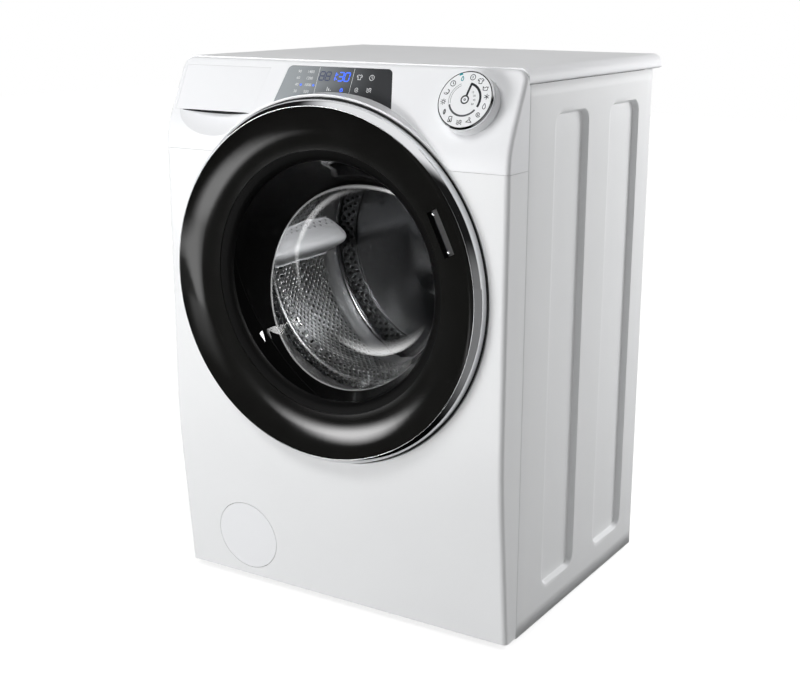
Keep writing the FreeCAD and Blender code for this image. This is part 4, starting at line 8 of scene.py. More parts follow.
import bmesh
import bpy
import numpy as np
from mathutils import Matrix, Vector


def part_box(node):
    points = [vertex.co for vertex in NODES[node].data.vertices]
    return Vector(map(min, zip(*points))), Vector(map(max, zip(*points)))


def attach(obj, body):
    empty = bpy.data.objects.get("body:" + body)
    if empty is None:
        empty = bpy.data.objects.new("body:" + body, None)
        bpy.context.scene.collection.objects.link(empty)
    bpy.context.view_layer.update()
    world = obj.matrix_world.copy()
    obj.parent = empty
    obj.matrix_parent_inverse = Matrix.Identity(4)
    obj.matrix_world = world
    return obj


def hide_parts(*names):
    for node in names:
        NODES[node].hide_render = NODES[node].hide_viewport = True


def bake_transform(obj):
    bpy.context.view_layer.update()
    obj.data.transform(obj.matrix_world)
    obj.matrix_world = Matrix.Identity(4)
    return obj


bl_info = {
    "name": "Washer dryer looks",
    "version": (1, 0, 0),
    "blender": (4, 5, 0),
    "location": "View3D > Sidebar > Washer",
    "description": "Dresses the solids of a front-loading washer dryer",
    "category": "Object",
}

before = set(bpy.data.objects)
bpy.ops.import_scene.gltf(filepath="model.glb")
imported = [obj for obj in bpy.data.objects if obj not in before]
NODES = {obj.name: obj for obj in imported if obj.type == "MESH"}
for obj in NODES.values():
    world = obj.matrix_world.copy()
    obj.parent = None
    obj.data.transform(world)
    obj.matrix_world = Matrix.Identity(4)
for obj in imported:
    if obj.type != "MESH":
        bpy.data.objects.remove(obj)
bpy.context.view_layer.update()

MM = 0.001
WHOLE_TURN = 2 * math.pi
QUARTER_TURN = math.pi / 2
# The flat front and the axis of door and drum
FRONT = -0.254
DOOR_Z = 0.528
# Foot and tilt of the control face
FACE_TILT = math.radians(26)
FACE_Y = FRONT + 0.011538
FACE_Z = 0.764973
# Middle of the dial across and up the control face, and its height off it
DIAL_CENTRE = np.array([0.226, 0.038])
DIAL_FACE = 0.021
# Notch that the door's ring leaves for the hinge: half its height, its front and its reach
NOTCH_HALF = 0.038
NOTCH_FRONT = FRONT - 0.018
NOTCH_REACH = -0.2645
# Even light from all round, as a share of white
FILL = 0.12


def linear(code):
    """Linear RGBA of an sRGB hex colour."""
    shares = np.array([int(code[at:at + 2], 16) for at in (0, 2, 4)]) / 255
    light = np.where(shares <= 0.04045, shares / 12.92, ((shares + 0.055) / 1.055) ** 2.4)
    return tuple(float(part) for part in light) + (1.0,)


# Sizes and colours that a user may change

def length(name, description, default):
    """Setting in metres."""
    return bpy.props.FloatProperty(name=name, description=description, default=default, unit="LENGTH")


def colour(name, description, code):
    """Colour setting that starts from a hex colour."""
    return bpy.props.FloatVectorProperty(name=name, description=description, subtype="COLOR", size=4,
                                         default=linear(code))


class WasherSizes(bpy.types.PropertyGroup):
    """Sizes of the pieces that are made here."""

    hole_pitch: length("Hole pitch", "Spacing of the drum's fine holes", 0.0095)
    hole_radius: length("Hole radius", "Radius of the drum's fine holes", 0.0019)
    lifter_hole_pitch: length("Lifter hole pitch", "Spacing of the holes beside a lifter", 0.0125)
    rear_hole_pitch: length("Rear hole pitch", "Spacing of the holes round the drum's rear", 0.0115)
    recess_depth: length("Recess depth", "Pressed recesses of the side panels", 0.0085)
    recess_slope: length("Recess slope", "Width of a recess's steep wall", 0.0042)
    mark_lift: length("Mark lift", "Printed marks above their surface", 0.00006)


class WasherColours(bpy.types.PropertyGroup):
    """Colours of the main finishes."""

    paint: colour("Paint", "Powder-coated steel", "F0F1F2")
    plastic: colour("White plastic", "Moulded ABS", "F2F3F5")
    dish: colour("Door dish", "Black moulded rim", "161615")
    light: colour("Display light", "Lit digits", "3F6BFF")


# Meshes from whole arrays

def quads(rows, columns, wrap_rows=False, wrap_columns=False):
    """Corner numbers of the faces between neighbours on a grid, row by row."""
    row = np.arange(rows if wrap_rows else rows - 1)
    column = np.arange(columns if wrap_columns else columns - 1)
    row, column = [part.ravel() for part in np.meshgrid(row, column, indexing="ij")]
    below, beside = (row + 1) % rows, (column + 1) % columns
    return np.stack([row * columns + column, row * columns + beside, below * columns + beside,
                     below * columns + column], axis=1)


def mesh_from(name, points, faces, closed=False):
    """Mesh of points and faces; a closed one has its doubles merged and its faces turned outwards."""
    points = np.asarray(points, np.float32).reshape(-1, 3)
    faces = np.asarray(faces, np.int32)
    mesh = bpy.data.meshes.new(name)
    mesh.vertices.add(len(points))
    mesh.vertices.foreach_set("co", points.ravel())
    mesh.loops.add(faces.size)
    mesh.loops.foreach_set("vertex_index", faces.ravel())
    mesh.polygons.add(len(faces))
    mesh.polygons.foreach_set("loop_start", np.arange(0, faces.size, faces.shape[1], dtype=np.int32))
    mesh.update(calc_edges=True)
    if closed:
        shell = bmesh.new()
        shell.from_mesh(mesh)
        bmesh.ops.remove_doubles(shell, verts=shell.verts, dist=1e-6)
        bmesh.ops.dissolve_degenerate(shell, edges=shell.edges, dist=1e-7)
        bmesh.ops.recalc_face_normals(shell, faces=shell.faces)
        shell.to_mesh(mesh)
        shell.free()
    mesh.validate()
    return mesh


def add_piece(name, shape, body, material, stands_for=None, closed=False, smooth=True, crease=None):
    """Object of a shape's points and faces, standing for the solid it replaces.

    It rides on a body, or without one stays where it is made.
    Edges sharper than the crease, in degrees, stay crisp.
    """
    mesh = mesh_from(name, *shape, closed)
    piece = bpy.data.objects.new(name, mesh)
    bpy.context.scene.collection.objects.link(piece)
    mesh.materials.append(material)
    mesh.polygons.foreach_set("use_smooth", np.full(len(mesh.polygons), smooth))
    if crease:
        mesh.set_sharp_from_angle(angle=math.radians(crease))
    if body:
        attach(piece, body)
    else:
        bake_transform(piece)
    if stands_for:
        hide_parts(stands_for)
    return piece


def lay_map(piece, flat, faces, seam=math.inf):
    """Write a map in metres whose last faces run on past the seam instead of back to its start."""
    corner = np.asarray(flat, float).reshape(-1, 2)[faces]
    first = corner[:, :1, 0]
    corner[..., 0] = np.where(first - corner[..., 0] > seam / 2, corner[..., 0] + seam, corner[..., 0])
    layer = piece.data.uv_layers.new(name="Flat")
    layer.uv.foreach_set("vector", corner.astype(np.float32).ravel())


def thicken(piece, thickness, offset):
    """Give a skin the thickness of its sheet; the offset says to which side."""
    sheet = piece.modifiers.new("sheet", "SOLIDIFY")
    sheet.thickness = thickness
    sheet.offset = offset


def joined(parts):
    """One set of points and faces from several."""
    counts = np.cumsum([0] + [len(points) for points, _ in parts[:-1]])
    points = np.concatenate([np.asarray(points, float) for points, _ in parts])
    faces = np.concatenate([np.asarray(faces) + start for (_, faces), start in zip(parts, counts)])
    return points, faces


def unit(arrows):
    """Arrows of length one."""
    return arrows / np.linalg.norm(arrows, axis=-1, keepdims=True)


def turns(count):
    """Even steps of angle round a circle."""
    return np.linspace(0, WHOLE_TURN, count, endpoint=False)


def smooth_step(share):
    """Rise from 0 to 1 with level ends: 3 s ** 2 - 2 s ** 3."""
    share = np.clip(share, 0, 1)
    return share ** 2 * (3 - 2 * share)


def turned_shell(profile, segments, centre=(0.0, DOOR_Z)):
    """Lathe: a closed line of (radius, y) carried round an axis along Y."""
    profile = np.asarray(profile, float)
    angle = turns(segments)[:, None]
    radius, depth = profile[None, :, 0], profile[None, :, 1]
    points = np.stack([centre[0] + radius * np.cos(angle), depth + 0 * angle,
                       centre[1] + radius * np.sin(angle)], axis=-1)
    return points.reshape(-1, 3), quads(segments, len(profile), True, True)


def smooth_line(corners, count):
    """Catmull-Rom curve through corners, with an even count of points to each span."""
    corners = np.asarray(corners, float)
    ends = np.concatenate([[2 * corners[0] - corners[1]], corners, [2 * corners[-1] - corners[-2]]])
    share = np.linspace(0, 1, count, endpoint=False)[None, :, None]
    first, start, end, last = [ends[at:len(ends) - 3 + at, None, :] for at in range(4)]
    curve = 0.5 * (2 * start + (end - first) * share + (2 * first - 5 * start + 4 * end - last) * share ** 2
                   + (3 * start - 3 * end + last - first) * share ** 3)
    return np.concatenate([curve.reshape(-1, corners.shape[1]), corners[-1:]])


def offset_loop(line, wall):
    """Closed section of a wall: a line of (radius, y) and the same line moved sideways."""
    ahead = np.gradient(line, axis=0)
    side = unit(np.stack([-ahead[:, 1], ahead[:, 0]], axis=1))
    return np.concatenate([line, (line + wall * side)[::-1]])


def wall_loop(near, far, places):
    """Closed section of a wall between two reaches at the same places."""
    there, back = [np.stack([reach + 0 * places, places], axis=1) for reach in (near, far)]
    return np.concatenate([there, back[::-1]])


def tube(path, radius, sides):
    """Round tube: a circle carried along a path, in the frame of the path and a steady side direction."""
    ahead = unit(np.gradient(path, axis=0))
    guess = np.where(np.abs(ahead[:, 2:3]) < 0.9, [[0.0, 0.0, 1.0]], [[1.0, 0.0, 0.0]])
    side = unit(np.cross(ahead, guess))
    other = np.cross(side, ahead)
    angle = turns(sides)[None, :, None]
    ring = np.cos(angle) * side[:, None, :] + np.sin(angle) * other[:, None, :]
    return path[:, None, :] + radius * ring, quads(len(path), sides, False, True)


# Finishes

def feed(node, sockets):
    """Give a node's sockets values or links: a dict by name or number, or a list in the node's own order."""
    pairs = sockets.items() if isinstance(sockets, dict) else enumerate(sockets)
    for name, given in pairs:
        if isinstance(given, bpy.types.NodeSocket):
            node.id_data.links.new(given, node.inputs[name])
        else:
            node.inputs[name].default_value = given


def add(tree, kind, sockets=(), **settings):
    """Add one shader node with its settings and sockets, and give its outputs."""
    node = tree.nodes.new("ShaderNode" + kind)
    for name, setting in settings.items():
        setattr(node, name, setting)
    feed(node, sockets)
    return node.outputs


def found(tree, kind):
    """The node of a kind that a new tree starts with."""
    return next(node for node in tree.nodes if node.type == kind)


def start_finish(name, **sockets):
    """New material with its shader's own sockets set; underscores in a name stand for spaces."""
    material = bpy.data.materials.new(name)
    material.use_nodes = True
    shader = found(material.node_tree, "BSDF_PRINCIPLED")
    feed(shader, {socket.replace("_", " "): given for socket, given in sockets.items()})
    return material, material.node_tree, shader


def window(tree, value, low, high, soft):
    """1 between two limits and 0 outside, with soft edges."""
    edges = ((value, low - soft, low + soft), (value, high + soft, high - soft))
    rise, fall = [add(tree, "MapRange", edge, interpolation_type="SMOOTHSTEP")[0] for edge in edges]
    return add(tree, "Math", (rise, fall), operation="MULTIPLY")[0]


def speckle(tree, size, stretch=(1, 1, 1), detail=2.0):
    """Noise on object coordinates whose grains are about one size across."""
    place = add(tree, "TexCoord")["Object"]
    stretched = add(tree, "Mapping", {"Vector": place, "Scale": stretch})["Vector"]
    return add(tree, "TexNoise", {"Vector": stretched, "Scale": 0.5 / size, "Detail": detail})["Fac"]


def spread(tree, pattern, low, high):
    """Map a pattern from its usual middle range onto low to high."""
    return add(tree, "MapRange", (pattern, 0.3, 0.7, low, high))[0]


def roughen(tree, shader, pattern, rough, height, strength):
    """Let one pattern drive roughness and a bump of a real height."""
    bump = add(tree, "Bump", {"Height": pattern, "Distance": height, "Strength": strength})
    feed(shader, {"Roughness": spread(tree, pattern, *rough), "Normal": bump["Normal"]})


def tint(tree, shader, share, dark, light):
    """Let a share carry the base colour from one colour to another, on the mix's sockets 6 and 7."""
    mix = add(tree, "Mix", {0: share, 6: dark, 7: light}, data_type="RGBA")
    feed(shader, {"Base Color": mix[2]})


def tone(given):
    """Colour of a hex code, or of a setting's name with a factor, kept below white."""
    if isinstance(given, str):
        return linear(given)
    name, factor = given
    own = getattr(bpy.context.scene.washer_colours, name)
    return tuple(min(1.0, part * factor) for part in own[:3]) + (1.0,)


def plain_finish(name, grain, rough, bump, patch=None, tones=None, stretch=(1, 1, 1), details=(2.0, 2.0),
                 **sockets):
    """Finish of one layer: grains drive its roughness and bump, larger patches shift its colour.

    Grain and patch are sizes in millimetres; the bump is a height in metres and a strength.
    """
    material, tree, shader = start_finish(name, **sockets)
    roughen(tree, shader, speckle(tree, grain * MM, stretch, details[0]), rough, *bump)
    if tones:
        share = spread(tree, speckle(tree, patch * MM, detail=details[1]), 0.0, 1.0)
        tint(tree, shader, share, *[tone(given) for given in tones])
    return material


PLAIN_FINISHES = {
    # Sprayed and baked paint: a satin white with faint orange peel a few millimetres across
    "powder_coated_steel": dict(grain=2.2, rough=(0.3, 0.38), bump=(0.00002, 0.35), patch=60,
                                tones=(("paint", 0.993), ("paint", 1.004)), IOR=1.5),
    # ABS from a polished mould: bright white, glossy, with slow waves where the moulding shrank
    "polished_abs": dict(grain=30, rough=(0.285, 0.34), bump=(0.00004, 0.15), patch=80,
                         tones=(("plastic", 0.996), ("plastic", 1.004)), IOR=1.54),
    # Deep black ABS from a mirror-polished mould: almost no colour, soft-edged reflections
    "gloss_black_abs": dict(grain=40, rough=(0.09, 0.13), bump=(0.00003, 0.08), patch=25,
                            tones=(("dish", 0.9), ("dish", 1.15)), IOR=1.5),
    # Black ABS from an etched mould: dark grey with a fine grain that spreads the light
    "satin_black_abs": dict(grain=0.7, rough=(0.3, 0.42), bump=(0.00003, 0.4), patch=12,
                            tones=("1B1B1C", "232324"), IOR=1.5),
    # Chrome plate on polished plastic: a clean mirror with barely visible polishing haze
    "bright_chrome": dict(grain=18, rough=(0.05, 0.085), bump=(0.00002, 0.05),
                          Base_Color=linear("E2E3E5"), Metallic=1.0),
    # Moulded EPDM rubber: near black, dull, with a fine bloom on the folds
    "moulded_rubber": dict(grain=1.2, rough=(0.45, 0.62), bump=(0.00005, 0.4), patch=15,
                           tones=("19191A", "242526"), IOR=1.52),
    # Glass-filled polypropylene: mid grey, dull, flecked by its fibres
    "filled_polypropylene": dict(grain=1.5, rough=(0.4, 0.55), bump=(0.00004, 0.4), patch=2.5,
                                 tones=("85888A", "969A9C"), IOR=1.49),
    # Moulded polyamide: charcoal with a matt, slightly pebbled skin
    "dark_polyamide": dict(grain=1.0, rough=(0.42, 0.55), bump=(0.00004, 0.4), patch=9,
                           tones=("242527", "2E3032"), IOR=1.53),
    # Cold-rolled stainless steel: a soft mirror streaked along the rolling direction
    "rolled_stainless": dict(grain=3, stretch=(1, 14, 1), rough=(0.2, 0.32), bump=(0.00001, 0.3),
                             Base_Color=linear("C9CACB"), Metallic=1.0),
    # Cast concrete: dull grey with sand grains and small air holes
    "cast_concrete": dict(grain=2.0, rough=(0.8, 0.95), bump=(0.0004, 0.6), patch=7,
                          tones=("7F7C77", "A09D97"), details=(5.0, 6.0), IOR=1.5),
}


def pressed_glass(name):
    """Pressed and fire-polished bowl glass: clear and colourless, its side wall coloured black as painted
    shade.

    The black ends on a leaning plane, so that it reaches further back towards the top as painted shade, and
    the flange is ground dull. Lamps shine through the bowl, so that the drum behind it is lit.
    """
    material, tree, shader = start_finish(name, IOR=1.5)
    axes = add(tree, "SeparateXYZ", [add(tree, "TexCoord")["Object"]])
    # Painted shade: black on the side wall for the shaded gasket behind it, reaching further back at the top
    # for the drum's dim top
    below = add(tree, "Math", (DOOR_Z, axes["Z"]), operation="SUBTRACT")[0]
    lean = add(tree, "Math", (below, 0.24), operation="MULTIPLY")[0]
    depth = add(tree, "Math", (axes["Y"], lean), operation="ADD")[0]
    clear = add(tree, "MapRange", (depth, FRONT + 0.0795, FRONT + 0.0835))[0]
    gloss = add(tree, "MapRange", (clear, 0.0, 1.0, 0.12, 0.5))[0]
    ground = window(tree, axes["Y"], FRONT - 1, FRONT + 0.012, 0.001)
    rough = add(tree, "Math", (ground, 0.55), operation="MULTIPLY")[0]
    bump = add(tree, "Bump", {"Height": speckle(tree, 45 * MM), "Distance": 0.00006, "Strength": 0.25})
    feed(shader, {"Roughness": rough, "Transmission Weight": clear, "Specular IOR Level": gloss,
                  "Normal": bump["Normal"]})
    tint(tree, shader, clear, linear("060606"), linear("F2F2F2"))
    through = add(tree, "BsdfTransparent", {"Color": linear("DDDDDD")})["BSDF"]
    shadow = add(tree, "LightPath")["Is Shadow Ray"]
    mix = add(tree, "MixShader", (shadow, shader.outputs["BSDF"], through))
    feed(found(tree, "OUTPUT_MATERIAL"), {"Surface": mix["Shader"]})
    return material


def smoked_acrylic(name):
    """Smoked acrylic: grey that is lighter at the left and deepens towards the right, under a clear glossy
    face.
    """
    material, tree, shader = start_finish(name, IOR=1.49)
    across = add(tree, "SeparateXYZ", [add(tree, "TexCoord")["Object"]])["X"]
    share = add(tree, "MapRange", (across, -0.1, 0.07), interpolation_type="SMOOTHSTEP")[0]
    tint(tree, shader, share, linear("A0A5A8"), linear("3E3F41"))
    roughen(tree, shader, speckle(tree, 20 * MM), (0.1, 0.15), 0.00002, 0.05)
    return material


def zinc_plated_steel(name):
    """Hot-dip zinc on pressed sheet: pale metal with patches of crystal spangle."""
    material, tree, shader = start_finish(name, Metallic=1.0)
    place = add(tree, "TexCoord")["Object"]
    crystal = add(tree, "TexVoronoi", {"Vector": place, "Scale": 1 / (9 * MM)})["Color"]
    share = spread(tree, add(tree, "SeparateColor", {"Color": crystal})["Red"], 0.0, 1.0)
    tint(tree, shader, share, linear("A6A8AA"), linear("B8BABC"))
    roughen(tree, shader, speckle(tree, 4 * MM), (0.36, 0.5), 0.00002, 0.3)
    return material


def perforated(name, pitch, radius, band, rough, sheet_tone, metallic=1.0):
    """Stainless or moulded sheet with holes on a staggered grid: round holes painted near black as painted
    shade, in drawn-in rims.

    The grid lies on the piece's own map, which is in metres along the sheet; holes are in one band of it.
    """
    material, tree, shader = start_finish(name, Metallic=metallic)
    flat = add(tree, "UVMap", uv_map="Flat")["UV"]
    turned = add(tree, "Mapping", {"Vector": flat, "Rotation": (0, 0, math.pi / 4)})["Vector"]
    cell = add(tree, "TexVoronoi", {"Vector": turned, "Scale": 1 / pitch, "Randomness": 0.0},
               voronoi_dimensions="2D")["Distance"]
    inside = window(tree, add(tree, "SeparateXYZ", [flat])["Y"], *band, 0.0001)
    cell = add(tree, "Mix", {0: inside, 2: 1.0, 3: cell})[0]
    edge = radius / pitch
    # Painted shade: the holes are coloured near black for the shade behind them
    hole = add(tree, "MapRange", (cell, edge * 0.85, edge))[0]
    tint(tree, shader, hole, linear("060606"), linear(sheet_tone))
    rim = add(tree, "MapRange", (cell, edge, edge * 2.0), interpolation_type="SMOOTHSTEP")[0]
    bump = add(tree, "Bump", {"Height": rim, "Distance": 0.001, "Strength": 0.8})
    streak = speckle(tree, 3 * MM, stretch=(1, 14, 1))
    feed(shader, {"Roughness": spread(tree, streak, *rough), "Normal": bump["Normal"]})
    return material


def printed_ink(name, dark, light):
    """Pad-printed ink: flat colour with the slightly uneven cover of a thin film."""
    return plain_finish(name, 0.6, (0.35, 0.5), (0.000004, 0.3), 1.5, (dark, light), IOR=1.5)


def lit_segment(name, light, strength):
    """Back-lit film: an even glow with a slightly brighter middle, as from a lamp behind a diffuser."""
    material, tree, shader = start_finish(name, Base_Color=light, Emission_Color=light, Roughness=0.4)
    glow = spread(tree, speckle(tree, 6 * MM), 0.9 * strength, 1.1 * strength)
    feed(shader, {"Emission Strength": glow})
    return material


LAYERED_FINISHES = {maker.__name__: maker for maker in (pressed_glass, smoked_acrylic, zinc_plated_steel)}
# Die-cast pieces, all inside the cabinet, keep the solids' own material
FINISH_OF_SLOT = {
    "white_enamel": "powder_coated_steel",
    "white_plastic": "polished_abs",
    "black_plastic": "gloss_black_abs",
    "chrome": "bright_chrome",
    "bowl_glass": "pressed_glass",
    "display": "smoked_acrylic",
    "grey_rubber": "moulded_rubber",
    "black_rubber": "moulded_rubber",
    "grey_plastic": "filled_polypropylene",
    "dark_plastic": "dark_polyamide",
    "steel": "rolled_stainless",
    "zinc_steel": "zinc_plated_steel",
    "cast_aluminium": "cast_aluminium",
    "concrete": "cast_concrete",
}
FINISH_OF_NODE = {"door_frame": "satin_black_abs", "door_handle": "satin_black_abs"}


def finish(name):
    """The material of a name, made when it is first asked for."""
    if name in bpy.data.materials:
        return bpy.data.materials[name]
    if name in LAYERED_FINISHES:
        return LAYERED_FINISHES[name](name)
    return plain_finish(name, **PLAIN_FINISHES[name])


# Marks on the control face: place across, place up the tilted face, height off it

def on_face(flat, lift):
    """Points given across and up the control face, at a height off it."""
    across, up = flat[..., 0], flat[..., 1]
    return np.stack([across, FACE_Y + up * math.sin(FACE_TILT) - lift * math.cos(FACE_TILT),
                     FACE_Z + up * math.cos(FACE_TILT) + lift * math.sin(FACE_TILT)], axis=-1)


def ribbon(line, width, closed=False):
    """Flat stroke: a line moved half its width to both sides."""
    line = np.asarray(line, float)
    if closed:
        ahead = np.roll(line, -1, axis=0) - np.roll(line, 1, axis=0)
    else:
        ahead = np.gradient(line, axis=0)
    side = np.stack([-ahead[:, 1], ahead[:, 0]], axis=1)
    side *= width / 2 / np.maximum(np.linalg.norm(side, axis=1, keepdims=True), 1e-9)
    points = np.stack([line + side, line - side], axis=1).reshape(-1, 2)
    return points, quads(len(line), 2, closed, False)


def arc(radius, start, end, count=40):
    """Points on part of a circle; degrees are clockwise from the top."""
    angle = np.radians(np.linspace(start, end, count))
    return np.stack([radius * np.sin(angle), radius * np.cos(angle)], axis=1)


def along(corners, count=9):
    """Straight runs through corners, cut into short steps so that strokes keep their width."""
    corners = np.asarray(corners, float)
    share = np.linspace(0, 1, count, endpoint=False)[None, :, None]
    runs = corners[:-1, None, :] + share * (corners[1:] - corners[:-1])[:, None, :]
    return np.concatenate([runs.reshape(-1, 2), corners[-1:]])


def spokes(near, far, degrees):
    """Straight strokes from one distance off the middle to another, at several turns."""
    return [along([arc(reach, turn, turn, 1)[0] for reach in (near, far)]) for turn in degrees]


def wave(height):
    """Sine line across a pictogram."""
    across = np.linspace(-0.9, 0.9, 30)
    return np.stack([across, height + 0.18 * np.sin(across * math.pi * 1.5)], axis=1)


def spiral():
    """Line whose radius grows evenly with its angle."""
    share = np.linspace(0.1, 1, 50)
    return np.stack([0.85 * share * np.cos(12 * share), 0.85 * share * np.sin(12 * share)], axis=1)


def drop():
    """Water drop: a circle drawn up to a point."""
    angle = np.linspace(0, WHOLE_TURN, 40)
    return np.stack([0.6 * np.sin(angle) * np.sin(angle / 2), 0.9 * np.cos(angle) - 0.1], axis=1)


def pictograms():
    """Generic laundry signs, each a list of lines within one unit of their middle."""
    shirt = [(-0.5, -0.8), (-0.5, 0.2), (-0.9, 0.0), (-0.95, 0.5), (-0.4, 0.8), (0.0, 0.6), (0.4, 0.8),
             (0.95, 0.5), (0.9, 0.0), (0.5, 0.2), (0.5, -0.8), (-0.5, -0.8)]
    basin = [(-0.9, 0.5), (-0.65, -0.7), (0.65, -0.7), (0.9, 0.5)]
    hanger = [(0.0, 0.4), (-0.95, -0.45), (0.95, -0.45), (0.0, 0.4)]
    trousers = [(-0.5, 0.85), (-0.6, -0.85), (-0.15, -0.85), (0.0, 0.2), (0.15, -0.85), (0.6, -0.85),
                (0.5, 0.85), (-0.5, 0.85)]
    padlock = [(-0.6, 0.0), (-0.6, -0.8), (0.6, -0.8), (0.6, 0.0), (-0.6, 0.0)]
    return {
        "on": [arc(0.85, 0, 360), along([(0, 0.35), (0, -0.35)])],
        "shirt": [along(shirt)],
        "basin": [along(basin), wave(0.2)],
        "spiral": [spiral()],
        "flake": spokes(-0.9, 0.9, (0, 60, 120)),
        "drop": [drop()],
        "trousers": [along(trousers)],
        "sun": [arc(0.42, 0, 360)] + spokes(0.65, 0.95, range(0, 360, 45)),
        "hanger": [along(hanger), arc(0.28, -90, 150) + (0, 0.68)],
        "waves": [wave(0.5), wave(0.0), wave(-0.5)],
        "clock": [arc(0.85, 0, 360), along([(0, 0.55), (0, 0), (0.4, -0.2)])],
        "leaf": [arc(1.1, 40, 140) + (-0.75, 0), arc(1.1, 220, 320) + (0.75, 0),
                 along([(0, -0.85), (0, 0.6)])],
        "moon": [arc(0.85, 20, 250), arc(0.62, 30, 240) + (0.3, 0.15)],
        "lock": [along(padlock), arc(0.4, -90, 90) + (0, 0.1)],
    }


def drawn(lines, centre, size, width):
    """Strokes of one pictogram at a place and size, as points across and up and faces."""
    return joined([ribbon(np.asarray(line) * size + centre, width) for line in lines])


def figures(text, centre, height):
    """Outlines of plain figures from the built-in typeface, filled with triangles."""
    curve = bpy.data.curves.new("figures", "FONT")
    curve.body = text
    curve.align_x = "CENTER"
    curve.align_y = "CENTER"
    curve.size = height * 1.4
    curve.resolution_u = 3
    holder = bpy.data.objects.new("figures", curve)
    mesh = bpy.data.meshes.new_from_object(holder)
    points = np.zeros(len(mesh.vertices) * 3)
    mesh.vertices.foreach_get("co", points)
    mesh.calc_loop_triangles()
    corners = np.zeros(len(mesh.loop_triangles) * 3, np.int32)
    mesh.loop_triangles.foreach_get("vertices", corners)
    bpy.data.objects.remove(holder)
    bpy.data.curves.remove(curve)
    bpy.data.meshes.remove(mesh)
    triangles = corners.reshape(-1, 3)
    return points.reshape(-1, 3)[:, :2] + centre, triangles[:, [0, 1, 2, 2]]


def print_marks(name, parts, lift, body, ink):
    """One thin printed piece on the control face from flat strokes and figures, cut into triangles."""
    flat, faces = joined(parts)
    whole = faces[:, 2] != faces[:, 3]
    corners = np.concatenate([faces[:, :3], faces[whole][:, [0, 2, 3]]])
    first, second = [flat[corners[:, at]] - flat[corners[:, 0]] for at in (1, 2)]
    area = first[:, 0] * second[:, 1] - first[:, 1] * second[:, 0]
    corners = np.where((area < 0)[:, None], corners[:, ::-1], corners)[np.abs(area) > 1e-13]
    add_piece(name, (on_face(flat, lift), corners), body, ink, smooth=False)


# Operators

class WasherOperator:
    """What all the operators share."""

    bl_options = {"REGISTER"}

    def execute(self, context):
        self.make(context.scene.washer_sizes)
        return {"FINISHED"}


class WASHER_OT_stage(WasherOperator, bpy.types.Operator):
    """Set up the camera, the pale floor and the studio light"""

    bl_idname = "washer.stage"
    bl_label = "Stage"

    def make(self, sizes):
        place_camera()
        light_world()
        lay_floor()
        hang_lamps()
        bpy.context.scene.view_settings.view_transform = "Standard"


def stand(thing, right, above, back, place):
    """Put a camera or a lamp into the scene, turned by its three axes."""
    axes = np.stack([right, above, back, place], axis=1)
    thing.matrix_world = Matrix(np.vstack([axes, (0, 0, 0, 1)]).tolist())
    bpy.context.scene.collection.objects.link(thing)


def place_camera():
    """Camera where the photograph was taken from: turned, tilted and barely rolled."""
    around, up, roll = np.radians([32.01, 14.86, 0.19])
    back = np.array([math.sin(around) * math.cos(up), -math.cos(around) * math.cos(up), math.sin(up)])
    right = np.array([math.cos(around), math.sin(around), 0])
    above = np.cross(back, right)
    turned_right = math.cos(roll) * right + math.sin(roll) * above
    turned_above = math.cos(roll) * above - math.sin(roll) * right
    data = bpy.data.cameras.new("photo_camera")
    data.lens = 60.89
    data.sensor_width = 36
    camera = bpy.data.objects.new("photo_camera", data)
    stand(camera, turned_right, turned_above, back, (1.130, -1.853, 0.959))
    bpy.context.scene.camera = camera


def light_world():
    """White where it is seen, an even fill on the object, and dark drapes with lit gaps for its mirrors.

    The drapes are laid out by the turn from the front and the height, both in degrees.
    """
    world = bpy.data.worlds.new("studio")
    bpy.context.scene.world = world
    world.use_nodes = True
    tree = world.node_tree
    axes = add(tree, "SeparateXYZ", [add(tree, "TexCoord")["Generated"]])
    forward = add(tree, "Math", (axes["Y"], -1.0), operation="MULTIPLY")[0]
    around = add(tree, "Math", (axes["X"], forward), operation="ARCTAN2")[0]
    upward = add(tree, "Math", [axes["Z"]], operation="ARCSINE")[0]
    turn, height = [add(tree, "Math", [angle], operation="DEGREES")[0] for angle in (around, upward)]
    above = window(tree, height, 54, 200, 8)
    behind = add(tree, "Math", (1.0, window(tree, turn, -118, 100, 8)), operation="SUBTRACT")[0]
    gap = (window(tree, turn, -2, 19, 5), window(tree, height, -90, 6, 14), 1.4)
    side = (window(tree, turn, 55, 110, 6), window(tree, height, -90, 12, 10), 0.2)
    glow = brightest(tree, ((above, 1.0, 1.0), (behind, 1.0, 0.8), gap, side), 0.012)
    seen, mirrored = sight(tree)
    either = add(tree, "Math", (seen, mirrored), operation="MAXIMUM")[0]
    rest = add(tree, "Math", (1.0, either), operation="SUBTRACT")[0]
    strength = summed(tree, ((seen, 1.0), (rest, FILL), (mirrored, glow)))
    feed(found(tree, "BACKGROUND"), {"Color": (1, 1, 1, 1), "Strength": strength})


def brightest(tree, parts, least):
    """The strongest of several lit parts, each the product of two shares and a strength."""
    for share, other, strength in parts:
        area = add(tree, "Math", (share, other), operation="MULTIPLY")[0]
        part = add(tree, "Math", (area, strength), operation="MULTIPLY")[0]
        least = add(tree, "Math", (least, part), operation="MAXIMUM")[0]
    return least


def summed(tree, parts):
    """Sum of several products of a share and a level."""
    total = 0.0
    for part in parts:
        product = add(tree, "Math", part, operation="MULTIPLY")[0]
        total = add(tree, "Math", (total, product), operation="ADD")[0]
    return total


